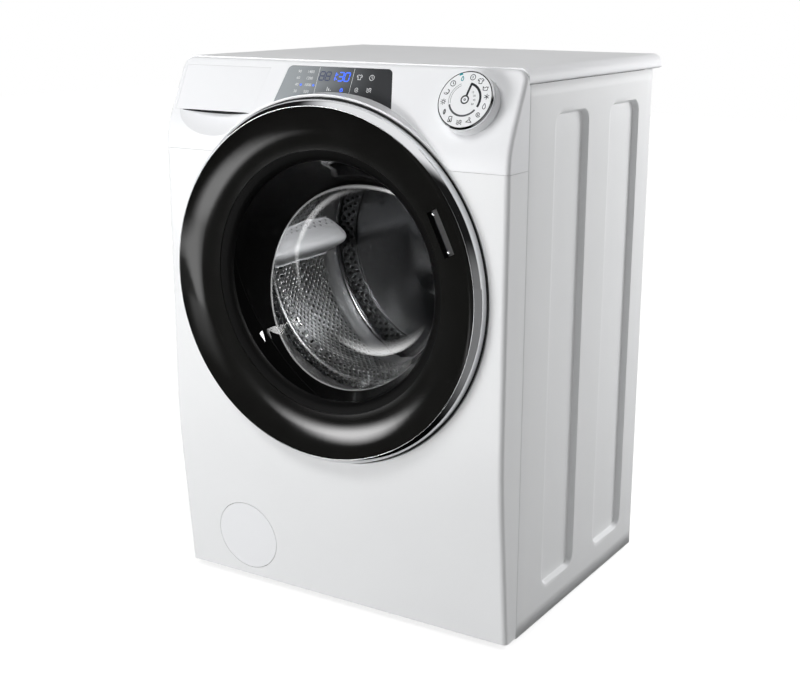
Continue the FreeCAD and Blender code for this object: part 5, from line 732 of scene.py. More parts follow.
def sight(tree):
    """Two shares: rays in plain sight, straight or through glass alone, and rays that a mirror sent on.

    A ray that went through glass after a mirror counts as a faint mirrored one.
    """
    path = add(tree, "LightPath")
    through, turned = path["Is Transmission Ray"], path["Glossy Depth"]
    depth = add(tree, "Math", (turned, path["Diffuse Depth"]), operation="ADD")[0]
    straight = add(tree, "Math", (depth, 0.5), operation="LESS_THAN")[0]
    direct = add(tree, "Math", (path["Is Camera Ray"], through), operation="MAXIMUM")[0]
    seen = add(tree, "Math", (direct, straight), operation="MULTIPLY")[0]
    turned_back = add(tree, "Math", (turned, 0.5), operation="GREATER_THAN")[0]
    return seen, brightest(tree, [(through, turned_back, 0.15)], path["Is Glossy Ray"])


def lay_floor():
    """Pale floor: white in the picture but for a soft shadow, dark in mirrors but for lit patches."""
    reach = 8.0
    corners = [(-reach, -reach, 0), (reach, -reach, 0), (reach, reach, 0), (-reach, reach, 0)]
    mesh = mesh_from("floor", corners, [[0, 1, 2, 3]])
    floor = bpy.data.objects.new("floor", mesh)
    bpy.context.scene.collection.objects.link(floor)
    material, tree, shader = start_finish("studio_floor", Roughness=0.9, Specular_IOR_Level=0.0,
                                          Emission_Color=(1, 1, 1, 1))
    place = add(tree, "TexCoord")["Object"]
    axes = add(tree, "SeparateXYZ", [place])
    away = add(tree, "VectorMath", [place], operation="LENGTH")["Value"]
    fade = add(tree, "MapRange", (away, 0.3, 2.2, 0.78, 1.0), interpolation_type="SMOOTHSTEP")[0]
    moved = add(tree, "Mapping", {"Vector": place, "Location": (0.38, 1.5, 0)})["Vector"]
    shrunk = add(tree, "VectorMath", (moved, (1 / 0.55, 1 / 0.5, 1)), operation="MULTIPLY")[0]
    off_middle = add(tree, "VectorMath", [shrunk], operation="LENGTH")["Value"]
    patch = add(tree, "MapRange", (off_middle, 1.0, 0.3), interpolation_type="SMOOTHSTEP")[0]
    strip = (window(tree, axes["X"], -0.3, 0.45, 0.2), window(tree, axes["Y"], -9.0, -1.55, 0.3), 3.6)
    beside = window(tree, axes["X"], 0.5, 9.0, 0.2)
    lit = brightest(tree, ((patch, 1.0, 4.3), strip, (beside, 1.0, 0.22)), 0.0)
    seen, mirrored = sight(tree)
    feed(shader, {"Emission Strength": summed(tree, ((seen, fade), (mirrored, lit)))})
    tint(tree, shader, mirrored, linear("B8B8B8"), linear("050505"))
    mesh.materials.append(material)


def hang_lamps():
    """Soft boxes: the key and the drum's lamp show in the gloss, the others only lend light."""
    soft_box("key", (-1.75, -2.45, 0.68), (-0.05, -0.2, 0.5), (1.5, 1.1), 29, mirrored=True)
    soft_box("front_fill", (-1.1, -2.5, 0.25), (-0.1, -0.25, 0.25), (1.5, 0.5), 20.5)
    soft_box("front_high", (-0.45, -1.65, 2.2), (-0.05, -0.2, 0.6), (1.2, 0.6), 20.5)
    soft_box("rear_right", (1.0, 1.25, 1.0), (0.3, 0.1, 0.55), (0.6, 0.7), 21.5)
    soft_box("side_fill", (2.3, -0.9, 1.0), (0.3, 0.0, 0.5), (0.8, 0.8), 6)
    drum_light = soft_box("drum_light", (0.09, -0.12, 0.665), (-0.16, -0.02, 0.42), (0.1, 0.06), 1.3,
                          mirrored=True, even=True)
    drum_light.spread = math.radians(105)


def soft_box(name, place, aim, size, power, mirrored=False, even=False):
    """One rectangular lamp turned to its aim; a mirrored one has soft edges unless it is even."""
    data = bpy.data.lights.new(name, "AREA")
    data.shape = "RECTANGLE"
    data.size, data.size_y = size
    data.energy = power
    lamp = bpy.data.objects.new(name, data)
    back = unit(np.subtract(place, aim))
    side = unit(np.cross((0, 0, 1), back))
    stand(lamp, side, np.cross(back, side), back, place)
    lamp.visible_camera = False
    lamp.visible_glossy = mirrored
    lamp.visible_transmission = False
    if mirrored and not even:
        soften(data)
    return data


def soften(data):
    """Let a lamp's cloth glow less towards its edges."""
    data.use_nodes = True
    tree = data.node_tree
    spot = add(tree, "NewGeometry")["Parametric"]
    off_middle = add(tree, "VectorMath", (spot, (0.5, 0.5, 0)), operation="DISTANCE")["Value"]
    cloth = add(tree, "MapRange", (off_middle, 0.55, 0.1, 0.0, 2.4), interpolation_type="SMOOTHSTEP")[0]
    feed(found(tree, "EMISSION"), {"Strength": cloth})


class WASHER_OT_finishes(WasherOperator, bpy.types.Operator):
    """Give every solid that stays in view its finish"""

    bl_idname = "washer.finishes"
    bl_label = "Finishes"

    def make(self, sizes):
        slots = {name: slot.material.name for name, node in NODES.items() for slot in node.material_slots}
        for name, node in NODES.items():
            finish_name = FINISH_OF_NODE.get(name) or FINISH_OF_SLOT[slots[name].split(".")[0]]
            for slot in node.material_slots:
                slot.material = finish(finish_name)


class WASHER_OT_side_panels(WasherOperator, bpy.types.Operator):
    """Press the two side panels with their soft-edged recesses"""

    bl_idname = "washer.side_panels"
    bl_label = "Side panels"

    def make(self, sizes):
        for side, name in ((-1, "side_panel_left"), (1, "side_panel_right")):
            shape = pressed_panel(side, *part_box(name), sizes)
            panel = add_piece(name + "_pressed", shape, "cabinet",
                              finish("powder_coated_steel"), name)
            thicken(panel, 0.001, -1)


def ticks(low, high, coarse, places):
    """Places along one side of a grid: even steps, with fine ones round the places that need them."""
    reach, step = 0.022, 0.0009
    fine = [np.arange(place - reach, place + reach, step) for place in places]
    line = np.unique(np.round(np.concatenate([np.arange(low, high, coarse)] + fine + [[low, high]]), 5))
    return line[(line >= low) & (line <= high)]


def pressed_panel(side, low, high, sizes):
    """Outer skin of a side panel: a flat sheet with rounded bends and two recesses.

    A recess sinks by a slope carried over the distance inside a rounded rectangle: a steep wall and a
    rounded foot, with a gentle shoulder along its near half.
    """
    half_width, bend, flange, corner, changeover = 0.3, 0.003, 0.01, 0.02, 0.03
    bottom, top = 0.060, 0.784
    edges = ((-0.110, -0.002), (0.079, 0.187))
    turn = np.linspace(0, QUARTER_TURN, 7)
    flat = ticks(low.y + bend, high.y - bend, 0.012, np.ravel(edges))
    depth = np.concatenate([[low.y], low.y + bend - bend * np.cos(turn), flat[1:-1],
                            high.y - bend + bend * np.sin(turn), [high.y]])
    inset = np.concatenate([[flange], bend - bend * np.sin(turn), 0 * flat[1:-1],
                            bend - bend * np.cos(turn), [flange]])
    rise = ticks(low.z, high.z, 0.025, (bottom, top))
    y, z = np.meshgrid(depth, rise, indexing="ij")
    shoulder, foot, steep = -0.007, sizes.recess_slope, 2.75
    walk = np.linspace(shoulder, foot, 400)
    slopes = (np.interp(walk, [shoulder, -0.0005, 0.001, 0.0031, foot], [0.0, 0.45, steep, steep, 0.0]),
              np.interp(walk, [-0.0004, 0.0004, 0.0036, foot], [0.0, steep, steep, 0.0]))
    near_drop, far_drop = [np.cumsum(slope) / np.sum(slope) for slope in slopes]
    sink = np.zeros_like(y)
    for start, end in edges:
        half = np.array([(end - start) / 2, (top - bottom) / 2])
        away = np.abs(np.stack([y - (start + end) / 2, z - (top + bottom) / 2], axis=-1)) - half + corner
        outside = np.linalg.norm(np.maximum(away, 0), axis=-1) + np.minimum(away.max(axis=-1), 0) - corner
        far = np.clip((y - (start + end) / 2) / changeover + 0.5, 0, 1)
        sunk = (1 - far) * np.interp(-outside, walk, near_drop) + far * np.interp(-outside, walk, far_drop)
        sink += sizes.recess_depth * sunk
    points = np.stack([side * (half_width - inset[:, None] - sink), y, z], axis=-1)
    faces = quads(len(depth), len(rise))
    return points, faces if side < 0 else faces[:, ::-1]


class WASHER_OT_gasket(WasherOperator, bpy.types.Operator):
    """Mould the folded rubber gasket"""

    bl_idname = "washer.gasket"
    bl_label = "Gasket"

    def make(self, sizes):
        low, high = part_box("gasket")
        wall, held_to, carried_from = 0.0026, 0.024, 0.046
        folds = np.array([(0.1905, 0.001), (0.1895, 0.009), (0.1805, 0.026), (0.1795, 0.036),
                          (0.2015, 0.044), (0.2025, 0.051), (0.1865, 0.060),
                          (0.1850, high.y - low.y)]) + (0, low.y)
        shape = turned_shell(offset_loop(smooth_line(folds, 8), -wall), 160)
        add_piece("gasket_folds", shape, None, finish("moulded_rubber"), "gasket",
                  closed=True)


class WASHER_OT_glass(WasherOperator, bpy.types.Operator):
    """Press the glass bowl of the door"""

    bl_idname = "washer.glass"
    bl_label = "Glass bowl"

    def make(self, sizes):
        front = [(0.1983, 0.0002), (0.1945, 0.0012), (0.1905, 0.0026), (0.1872, 0.0042), (0.1840, 0.0070),
                 (0.1818, 0.0110), (0.1745, 0.0300), (0.1645, 0.0600), (0.1545, 0.0900), (0.1497, 0.1003),
                 (0.1420, 0.1082), (0.1300, 0.1135), (0.1050, 0.1168), (0.0700, 0.1189), (0.0350, 0.1198),
                 (0.0, 0.12)]
        rear = [(0.0, 0.1239), (0.0350, 0.1237), (0.0700, 0.1228), (0.1050, 0.1207), (0.1310, 0.1174),
                (0.1445, 0.1112), (0.1533, 0.1020), (0.1584, 0.0910), (0.1684, 0.0610), (0.1784, 0.0310),
                (0.1852, 0.0120), (0.1868, 0.0085), (0.1890, 0.0056), (0.1918, 0.0040), (0.1950, 0.0039),
                (0.1983, 0.0039)]
        profile = np.concatenate([smooth_line(front, 6), smooth_line(rear, 6)]) + (0, FRONT)
        add_piece("glass_bowl", turned_shell(profile, 192), "door", finish("pressed_glass"),
                  "door_glass", closed=True, crease=50)


class WASHER_OT_drum(WasherOperator, bpy.types.Operator):
    """Form the perforated drum, its pressed ends and its lifters"""

    bl_idname = "washer.drum"
    bl_label = "Drum"

    def make(self, sizes):
        low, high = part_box("drum_shell")
        wall_band, rear_ring, lifter_foot = (low.y + 0.01, high.y - 0.042), (0.198, 0.2275), (0.006, 0.022)
        # The wall's steel is darker than the mouth's, and the rear's much darker still: painted shade inside
        # the drum
        drum_wall(perforated("fine_perforated_stainless", sizes.hole_pitch, sizes.hole_radius, wall_band,
                             (0.28, 0.34), "A2A3A4"))
        drum_rear(perforated("ring_perforated_stainless", sizes.rear_hole_pitch, 0.0030, rear_ring,
                             (0.12, 0.2), "565758"))
        drum_mouth()
        drum_lifters(perforated("perforated_grey_polypropylene", sizes.lifter_hole_pitch, 0.0020,
                                lifter_foot, (0.35, 0.45), "8C8D8F", metallic=0.0))


def drum_wall(steel):
    """Rolled wall whose rear end is swaged inwards in a smooth band; map in metres along the sheet.

    The inside radius falls by a smooth step of the depth.
    """
    low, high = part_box("drum_shell")
    sheet, swage, band, rear_edge, segments = 0.0012, 0.007, 0.028, 0.008, 192
    inner = high.x - sheet
    depth = np.linspace(low.y, high.y, 110)
    reach = inner - swage * smooth_step((depth - high.y + rear_edge + band) / band)
    profile = wall_loop(reach, high.x, depth)
    points, faces = turned_shell(profile, segments)
    shell = add_piece("drum_wall", (points, faces), "drum", steel, "drum_shell", crease=35)
    flat = np.stack(np.broadcast_arrays(inner * turns(segments)[:, None], profile[None, :, 1]), axis=-1)
    lay_map(shell, flat, faces, WHOLE_TURN * inner)


def drum_rear(steel):
    """Rear end: a raised middle, three broad pressed arms, a ring of holes and a rolled rim.

    The depth is a sum of smooth bumps of the radius and the angle; the map is (ring times angle, radius).
    """
    low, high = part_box("drum_back")
    ring, sheet, segments = 0.213, 0.0012, 216
    hub_rise, hub_radius, arm_rise, arm_start, arm_end = 0.012, 0.085, 0.006, 0.06, 0.195
    step_rise, step_radius, bead_rise, bead_radius, bead_half = 0.004, 0.196, 0.007, 0.2345, 0.0062
    radius = np.concatenate([np.linspace(0.0, 0.225, 100), np.linspace(0.2262, 0.2407, 22)])
    out, around = np.meshgrid(radius, turns(segments), indexing="ij")
    middle = hub_rise * np.clip(1 - (out / hub_radius) ** 2, 0, 1) ** 2
    arms = arm_rise * np.clip(np.cos(3 * around), 0, 1) ** 2
    arms *= np.clip((arm_end - out) / 0.04, 0, 1) * np.clip((out - arm_start) / 0.03, 0, 1)
    step = step_rise * smooth_step((step_radius - out) / 0.008)
    bead = bead_rise * np.sqrt(np.clip(1 - ((out - bead_radius) / bead_half) ** 2, 0, 1))
    depth = low.y - middle - arms - step - bead
    front = np.stack([out * np.cos(around), depth, DOOR_Z + out * np.sin(around)], axis=-1)
    back = front.copy()
    back[..., 1] = np.maximum(high.y, depth + sheet)
    points = np.concatenate([front, back[::-1]])
    faces = quads(len(points), segments, False, True)
    rear = add_piece("drum_rear", (points, faces), "drum", steel, "drum_back", crease=60)
    flat = np.stack([ring * around, out], axis=-1)
    lay_map(rear, np.concatenate([flat, flat[::-1]]), faces, ring * WHOLE_TURN)


def drum_mouth():
    """Front end: a dished ring whose inner edge rolls back into a round lip."""
    low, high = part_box("drum_front")
    line = np.array([(0.2405, 0.0012), (0.232, 0.0008), (0.205, 0.0006), (0.182, 0.0007), (0.1752, 0.0018),
                     (0.1732, 0.0050), (0.1734, high.y - low.y - 0.0004)]) + (0, low.y)
    shape = turned_shell(offset_loop(smooth_line(line, 8), 0.001), 160)
    add_piece("drum_mouth", shape, "drum", finish("rolled_stainless"), "drum_front", closed=True)


def drum_lifters(moulding):
    """Three lifters: a hollow-sided ridge carried from front to rear, easing down at both ends.

    The section runs over the ridge from one foot to the other; its height follows a power of a cosine.
    """
    low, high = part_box("lifters")
    half_foot, height, wall, easing = 0.034, 0.046, 0.2402, 0.035
    share = np.linspace(-1, 1, 61)[:, None]
    depth = np.linspace(low.y, high.y, 70)[None, :]
    ends = np.clip(np.minimum(depth - low.y, high.y - depth) / easing, 0, 1)
    ease = np.sqrt(1 - (1 - ends) ** 2)
    rise = height * np.cos(share * QUARTER_TURN) ** 1.35 * (0.25 + 0.75 * ease)
    across = share * half_foot * (0.55 + 0.45 * ease)
    seat = wall - np.sqrt(wall ** 2 - across ** 2)
    up = np.maximum(rise, seat + 0.0002)
    steps = [np.diff(part, axis=0, prepend=part[:1]) for part in (across, up)]
    flat = np.stack([depth + 0 * up, np.cumsum(np.hypot(*steps), axis=0)], axis=-1).reshape(-1, 2)
    parts = []
    for turn in np.radians([180, 300, 60]):
        x = (wall - up) * math.cos(turn) - across * math.sin(turn)
        z = DOOR_Z + (wall - up) * math.sin(turn) + across * math.cos(turn)
        parts.append((np.stack([x, depth + 0 * x, z], axis=-1).reshape(-1, 3), quads(*up.shape)))
    points, faces = joined(parts)
    lifters = add_piece("drum_lifters", (points, faces), "drum", moulding, "lifters")
    lay_map(lifters, np.tile(flat, (3, 1)), faces)


class WASHER_OT_display(WasherOperator, bpy.types.Operator):
    """Print and light the display's figures and signs"""

    bl_idname = "washer.display"
    bl_label = "Display"

    def make(self, sizes):
        white = printed_ink("white_print", "D9DBDD", "EEF0F1")
        blue = lit_segment("blue_segments", tuple(bpy.context.scene.washer_colours.light), 1.0)
        dim = printed_ink("unlit_segments", "39415F", "414A6B")
        unlit = [segment_figure("8", -0.0315), segment_figure("8", -0.0208)]
        for name, parts, ink in (("print", display_print(), white), ("bracket", display_bracket(), white),
                                 ("unlit", unlit, dim), ("lights", display_lights(), blue)):
            print_marks("display_" + name, parts, sizes.mark_lift - 0.0001, "cabinet", ink)


def display_print():
    """Columns of degrees and spin speeds, signs of the options and a row of bars."""
    rows = np.array([76, 66, 55.5, 45, 34.5]) * MM
    columns = ((-73, "90 60 40 30 20"), (-53, "1400 1200 1000 800 0"))
    parts = [figures(text, (across * MM, row), 4.4 * MM)
             for across, texts in columns for text, row in zip(texts.split(), rows)]
    signs = pictograms()
    for name, across, up in (("shirt", 34, 71), ("clock", 55, 71), ("spiral", 34, 52), ("waves", 55, 52),
                             ("drop", 34, 34), ("hanger", 55, 34)):
        parts.append(drawn(signs[name], (across * MM, up * MM), 4.6 * MM, 0.85 * MM))
    bars = [[(-1, -1), (-1, 0), (-1, 1)], [(0, -1), (0, 0), (0, 0.3)], [(1, -1), (1, -0.7), (1, -0.4)]]
    return parts + [drawn(bars, (-14 * MM, 51 * MM), 3.0 * MM, 1.4 * MM)]


def display_bracket():
    """Fine line down both sides of the digits, each turning in at its foot."""
    left, right, top, low, foot, rounding = -0.0385, 0.0225, 0.084, 0.0405, 0.0060, 0.003
    turn = np.linspace(0, QUARTER_TURN, 8)
    sides = []
    for edge, inwards in ((left, 1), (right, -1)):
        bend = np.stack([edge + inwards * rounding * (1 - np.cos(turn)),
                         low + rounding * (1 - np.sin(turn))], axis=1)
        line = np.concatenate([along([(edge, top), (edge, low + rounding)]), bend[1:],
                               [(edge + inwards * (rounding + foot), low)]])
        sides.append(ribbon(line, 0.6 * MM))
    return sides


def display_lights():
    """Lit time with its two points, two lit choices and the lock."""
    lit = [segment_figure("1", -0.0118), disc((-0.0049, 0.0735), 0.0009), disc((-0.0052, 0.0665), 0.0009),
           segment_figure("3", 0.0018), segment_figure("0", 0.0125)]
    lit += [disc((across * MM, 55.5 * MM), 1.6 * MM) for across in (-65.5, -43)]
    return lit + [drawn(pictograms()["lock"], (8 * MM, 51 * MM), 3.4 * MM, 1.1 * MM)]


def segment_figure(figure, across):
    """One seven-segment figure, leaning a little: each bar is a long hexagon."""
    bars = {"0": "abcdef", "1": "bc", "3": "abcdg", "8": "abcdefg"}[figure]
    half, tall, thick, middle, gap, lean = 0.0040, 0.0065, 0.0016, 0.0705, 0.12, 0.09
    ends = {"a": ((-half, tall), (half, tall)), "b": ((half, tall), (half, 0)),
            "c": ((half, 0), (half, -tall)), "d": ((-half, -tall), (half, -tall)),
            "e": ((-half, -tall), (-half, 0)), "f": ((-half, 0), (-half, tall)),
            "g": ((-half, 0), (half, 0))}
    parts = []
    for bar in bars:
        start, end = np.array(ends[bar])
        run = unit(end - start)
        side = np.array([-run[1], run[0]]) * thick / 2
        inner, outer = start + run * thick * gap, end - run * thick * gap
        near, far = inner + run * thick / 2, outer - run * thick / 2
        shape = np.array([inner, near + side, far + side, outer, far - side, near - side])
        shape[:, 0] += lean * shape[:, 1]
        parts.append((shape + (across, middle), np.array([[0, 1, 2, 3], [0, 3, 4, 5]])))
    return joined(parts)


def disc(centre, radius):
    """Small filled circle made of a ring of faces round its middle."""
    rim = arc(radius, 0, 360, 25)[:-1]
    points = np.concatenate([rim * 0.02, rim]) + centre
    odd = np.arange(1, 23, 2)
    middle = np.stack([0 * odd, odd, odd + 1, odd + 2], axis=1) % 24
    return points, np.concatenate([quads(2, 24, False, True), middle])


class WASHER_OT_dial(WasherOperator, bpy.types.Operator):
    """Print the programme dial"""

    bl_idname = "washer.dial"
    bl_label = "Dial"

    def make(self, sizes):
        grey = printed_ink("grey_print", "4A4D50", "585B5E")
        charcoal = printed_ink("charcoal_print", "1E2125", "2A2D31")
        teal = printed_ink("teal_print", "1F8C96", "2BA0AA")
        for name, parts, ink in (("signs", dial_signs(), charcoal), ("print", dial_print(), grey),
                                 ("scale", dial_scale(), charcoal), ("pointer", dial_pointer(), teal)):
            print_marks("dial_" + name, parts, DIAL_FACE + sizes.mark_lift, "dial", ink)


def on_dial(radius, turn):
    """Place on the dial at a distance from its middle and a turn from its top."""
    return DIAL_CENTRE + arc(radius, turn, turn, 1)[0]


def dial_signs():
    """Ring of programme signs."""
    ring = (("on", 8), ("shirt", 33), ("basin", 57), ("flake", 80), ("drop", 103), ("spiral", 128),
            ("hanger", 155), ("waves", 181), ("trousers", 208), ("leaf", 235), ("sun", 262), ("moon", 288),
            ("clock", 313))
    signs = pictograms()
    return [drawn(signs[name], on_dial(0.0325, turn), 4.5 * MM, 1.0 * MM) for name, turn in ring]


def dial_print():
    """Two fine arcs, the minutes and a broad arc."""
    parts = [ribbon(arc(radius, 254, 334) + DIAL_CENTRE, 0.55 * MM) for radius in (0.0218, 0.0245)]
    parts += [figures(text, on_dial(0.0145, turn), 3.0 * MM)
              for text, turn in (("15", 42), ("30", 66), ("45", 90), ("60", 114))]
    return parts + [ribbon(arc(0.0232, 126, 250, 60) + DIAL_CENTRE, 2.7 * MM)]


def dial_scale():
    """Dark arc with a hand that points to its start, and two rings at the middle."""
    start = arc(0.0232, 12, 12, 1)[0]
    return [ribbon(arc(0.0232, 9, 114, 60) + DIAL_CENTRE, 3.4 * MM),
            ribbon(along([start * 0.27, start * 1.02]) + DIAL_CENTRE, 3.2 * MM),
            ribbon(arc(0.0054, 0, 360, 49)[:-1] + DIAL_CENTRE, 2.0 * MM, closed=True),
            drawn([arc(0.5, 0, 360)], DIAL_CENTRE, 2.6 * MM, 1.0 * MM)]


def dial_pointer():
    """Coloured drop and a short stroke at the rim."""
    return [drawn(pictograms()["drop"], on_dial(0.0322, 340), 3.6 * MM, 1.2 * MM),
            ribbon(arc(0.0385, 334, 342, 8) + DIAL_CENTRE, 2.6 * MM)]


class WASHER_OT_drawer(WasherOperator, bpy.types.Operator):
    """Mould the drawer front and lay a dark strip over its grip hollow as painted shade of the gap under the
    drawer
    """

    bl_idname = "washer.drawer"
    bl_label = "Drawer front"

    def make(self, sizes):
        drawer_face()
        grip_buffer()


def drawer_face():
    """Drawer front: a soft-edged profile of inset and depth carried round a four-cornered outline."""
    low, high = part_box("drawer_front")
    grow, round_off, wall, cap = 0.00045, 0.0004, 0.006, 0.02
    corners = np.array([(low.x, low.z), (-0.143, low.z), (high.x, high.z), (low.x, high.z)])
    corners += grow * np.sign(corners - corners.mean(axis=0))
    ahead = unit(np.roll(corners, -1, axis=0) - corners)
    inwards = np.stack([-ahead[:, 1], ahead[:, 0]], axis=1)
    behind = np.roll(inwards, 1, axis=0)
    mitre = (inwards + behind) / (1 + np.sum(inwards * behind, axis=1, keepdims=True))
    turn = np.linspace(0, QUARTER_TURN, 6)
    inset = np.concatenate([[cap], round_off * (1 - np.sin(turn)), [0.0, cap]])
    depth = np.concatenate([[0.0], round_off * (1 - np.cos(turn)), [wall, wall]])
    outline = corners[None, :, :] + inset[:, None, None] * mitre[None, :, :]
    y = FACE_Y + (outline[..., 1] - FACE_Z) * math.tan(FACE_TILT) + depth[:, None]
    points = np.stack([outline[..., 0], y, outline[..., 1]], axis=-1)
    last = 4 * (len(inset) - 1)
    caps = np.array([[0, 1, 2, 3], [last + 3, last + 2, last + 1, last]])
    faces = np.concatenate([quads(len(inset), 4, False, True), caps])
    add_piece("drawer_face", (points, faces), "drawer", finish("polished_abs"),
              "drawer_front", closed=True, crease=50)


def grip_buffer():
    """Dark strip just under the drawer's lower edge as painted shade of the gap there: a patch of the
    surface of the hollow's ball.
    """
    centre, radius = np.array([-0.21275, FRONT - 0.127, 0.8636]), 0.1822
    edge_y, edge_z, fall, overlap = -0.2392, 0.7716, 0.317, 0.0011
    across = np.linspace(-0.064, 0.064, 60)[:, None]
    share = np.linspace(0, 1, 8)[None, :]
    reach = np.sqrt(radius ** 2 - (edge_z - centre[2]) ** 2 - across ** 2) + centre[1]
    low = edge_z - fall * (reach - edge_y) - overlap
    rise = low + share * (edge_z - 0.0012 - low)
    depth = centre[1] + np.sqrt(radius ** 2 - (rise - centre[2]) ** 2 - across ** 2)
    points = np.stack([centre[0] + across + 0 * rise, depth, rise], axis=-1)
    strip = add_piece("grip_buffer", (points, quads(60, 8)[:, ::-1]), "cabinet",
                      finish("moulded_rubber"))
    thicken(strip, 0.0003, 0)


class WASHER_OT_door_trim(WasherOperator, bpy.types.Operator):
    """Fit the bright ring and a black ring behind it as painted shade of its gap, the pan behind the handle
    and the handle's pins
    """

    bl_idname = "washer.door_trim"
    bl_label = "Door trim"

    def make(self, sizes):
        door_lip()
        chrome_bead()
        handle_cover()
        handle_pins()


def ring_shape(profile, segments):
    """Lathe ahead of the flat front that stays out of the notch that the hinge needs."""
    points, faces = turned_shell(profile + np.array((0, FRONT)), segments)
    notch = (np.abs(points[:, 2] - DOOR_Z) < NOTCH_HALF) & (points[:, 1] > NOTCH_FRONT)
    points[:, 0] = np.where(notch, np.maximum(points[:, 0], NOTCH_REACH), points[:, 0])
    return points, faces


def door_lip():
    """Thin black ring behind the bright one: painted shade of the gap round the ring."""
    gap_shade_profile = [(0.2665, -0.0013), (0.2732, -0.0013), (0.2737, -0.0010), (0.2737, -0.0006), (0.2732, -0.0003),
           (0.2665, -0.0003)]
    add_piece("door_lip", ring_shape(gap_shade_profile, 288), "door", finish("moulded_rubber"),
              closed=True)


def chrome_bead():
    """Bright ring: a fine rolled edge, a sloping facet and a side."""
    line = smooth_line([(0.2620, -0.0204), (0.2621, -0.0214), (0.2625, -0.0219), (0.2631, -0.0219),
                        (0.2637, -0.0214), (0.2660, -0.0191), (0.2685, -0.0163), (0.2700, -0.0141),
                        (0.2710, -0.0112), (0.2717, -0.0062), (0.2723, -0.0015)], 6)
    back = [(0.2707, -0.0015), (0.2690, -0.0125), (0.2650, -0.0178), (0.2622, -0.0200)]
    add_piece("chrome_bead", ring_shape(np.concatenate([line, back]), 576), "door",
              finish("bright_chrome"), "chrome_ring", closed=True, crease=40)


def handle_cover():
    """Pan behind the handle's opening: rings of one rounded oblong, domed by 1 - share ** 4."""
    low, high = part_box("door_handle")
    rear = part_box("door_frame")[1].y
    half_width, half_length, shift, dome = 0.0145, 0.044, 0.0048, 0.0012
    middle = np.array([(low.x + high.x) / 2, (low.z + high.z) / 2 - DOOR_Z])
    outward = unit(middle)
    share = np.linspace(0, 1, 14)[:, None]
    angle = turns(96)[None, :]
    reach = share * (np.cos(angle) ** 6 + np.sin(angle) ** 6) ** (-1 / 6)
    across = half_width * reach * np.cos(angle) - shift
    up = half_length * reach * np.sin(angle)
    x = middle[0] + across * outward[0] - up * outward[1]
    z = DOOR_Z + middle[1] + across * outward[1] + up * outward[0]
    pan = np.stack([x, rear + 0.0003 + dome * (1 - share ** 4) + 0 * angle, z], axis=-1)
    floor = np.stack([x, np.full_like(x, rear + 0.0001), z], axis=-1)
    sheet = np.concatenate([pan, floor[::-1]])
    add_piece("handle_cover", (sheet, quads(len(sheet), 96, False, True)), "door",
              finish("satin_black_abs"), closed=True, crease=50)


def handle_pins():
    """Two bright domed pins near the ends of the handle."""
    radius, height, seat, spacing, slope = 0.0030, 0.0016, -0.2570, 0.0285, math.radians(26)
    middle = np.array([0.1986, DOOR_Z + 0.0969])
    turn = np.linspace(0, QUARTER_TURN, 8)[::-1]
    dome = np.concatenate([[(0.0, 0.0)], np.stack([radius * np.sin(turn), -height * np.cos(turn)], axis=1)])
    places = [middle + side * spacing * np.array([-math.sin(slope), math.cos(slope)]) for side in (-1, 1)]
    pins = joined([turned_shell(dome + (0, seat), 32, place) for place in places])
    add_piece("handle_pins", pins, "handle", finish("bright_chrome"), closed=True)


class WASHER_OT_springs(WasherOperator, bpy.types.Operator):
    """Wind the hanging springs and mould the soft hoses and the belt"""

    bl_idname = "washer.springs"
    bl_label = "Springs, hoses and belt"

    def make(self, sizes):
        wind_springs()
        fold_hoses()
        supply_hose()
        rib_belt()


def wind_springs():
    """Two coil springs: a helix of wire from cross rail to tub ear, its ends drawn in to the axis."""
    low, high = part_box("springs")
    off_centre, coil_radius, wire_radius, coils, clear = 0.258, 0.0105, 0.0019, 17, 0.002
    middle = (low.y + high.y) / 2
    share = np.linspace(0, 1, 620)
    turn = np.clip((share - 0.05) / 0.9, 0, 1) * WHOLE_TURN * coils
    reach = coil_radius * np.clip(np.minimum(share, 1 - share) / 0.07, 0.12, 1)
    rise = low.z + clear + share * (high.z - low.z - 2 * clear)
    for side, name in ((-1, "spring_left"), (1, "spring_right")):
        path = np.stack([side * off_centre + reach * np.cos(turn), middle + reach * np.sin(turn), rise],
                        axis=1)
        add_piece(name, tube(path, wire_radius, 8), None, finish("zinc_plated_steel"),
                  "springs")


def fold_hoses():
    """Bellows: a lathe about an upright axis whose radius waves between its folds."""
    fold_depth, wall = 0.0032, 0.0025
    for name, folds, top_fixed in (("fill_hose", 4, True), ("sump_hose", 11, False)):
        low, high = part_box(name)
        rise = np.linspace(low.z, high.z, folds * 12 + 1)
        share = np.linspace(0, 1, len(rise))
        wavy = np.clip(np.minimum(share, 1 - share) / 0.1, 0, 1)
        reach = (high.x - low.x) / 2 - fold_depth * wavy * (0.5 - 0.5 * np.cos(share * folds * WHOLE_TURN))
        middle = ((low.x + high.x) / 2, (low.y + high.y) / 2)
        points, faces = turned_shell(wall_loop(reach, reach - wall, rise), 40, middle)
        add_piece(name + "_bellows", (points[:, [0, 2, 1]], faces), None,
                  finish("moulded_rubber"), name, closed=True)


def supply_hose():
    """Reinforced hose from the valve to the dispenser: a lathe along Y, swollen under two clamps."""
    low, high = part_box("inlet_hose")
    swell, wall, clamp_place, clamp_width = 0.0009, 0.003, 0.011, 0.005
    outer = (high.x - low.x) / 2
    depth = np.linspace(low.y, high.y, 90)
    end = np.minimum(depth - low.y, high.y - depth)
    reach = outer - swell + swell * np.exp(-((end - clamp_place) / clamp_width) ** 4)
    middle = ((low.x + high.x) / 2, (low.z + high.z) / 2)
    shape = turned_shell(wall_loop(reach, outer - wall, depth), 36, middle)
    add_piece("supply_hose", shape, "cabinet", finish("moulded_rubber"), "inlet_hose",
              closed=True)


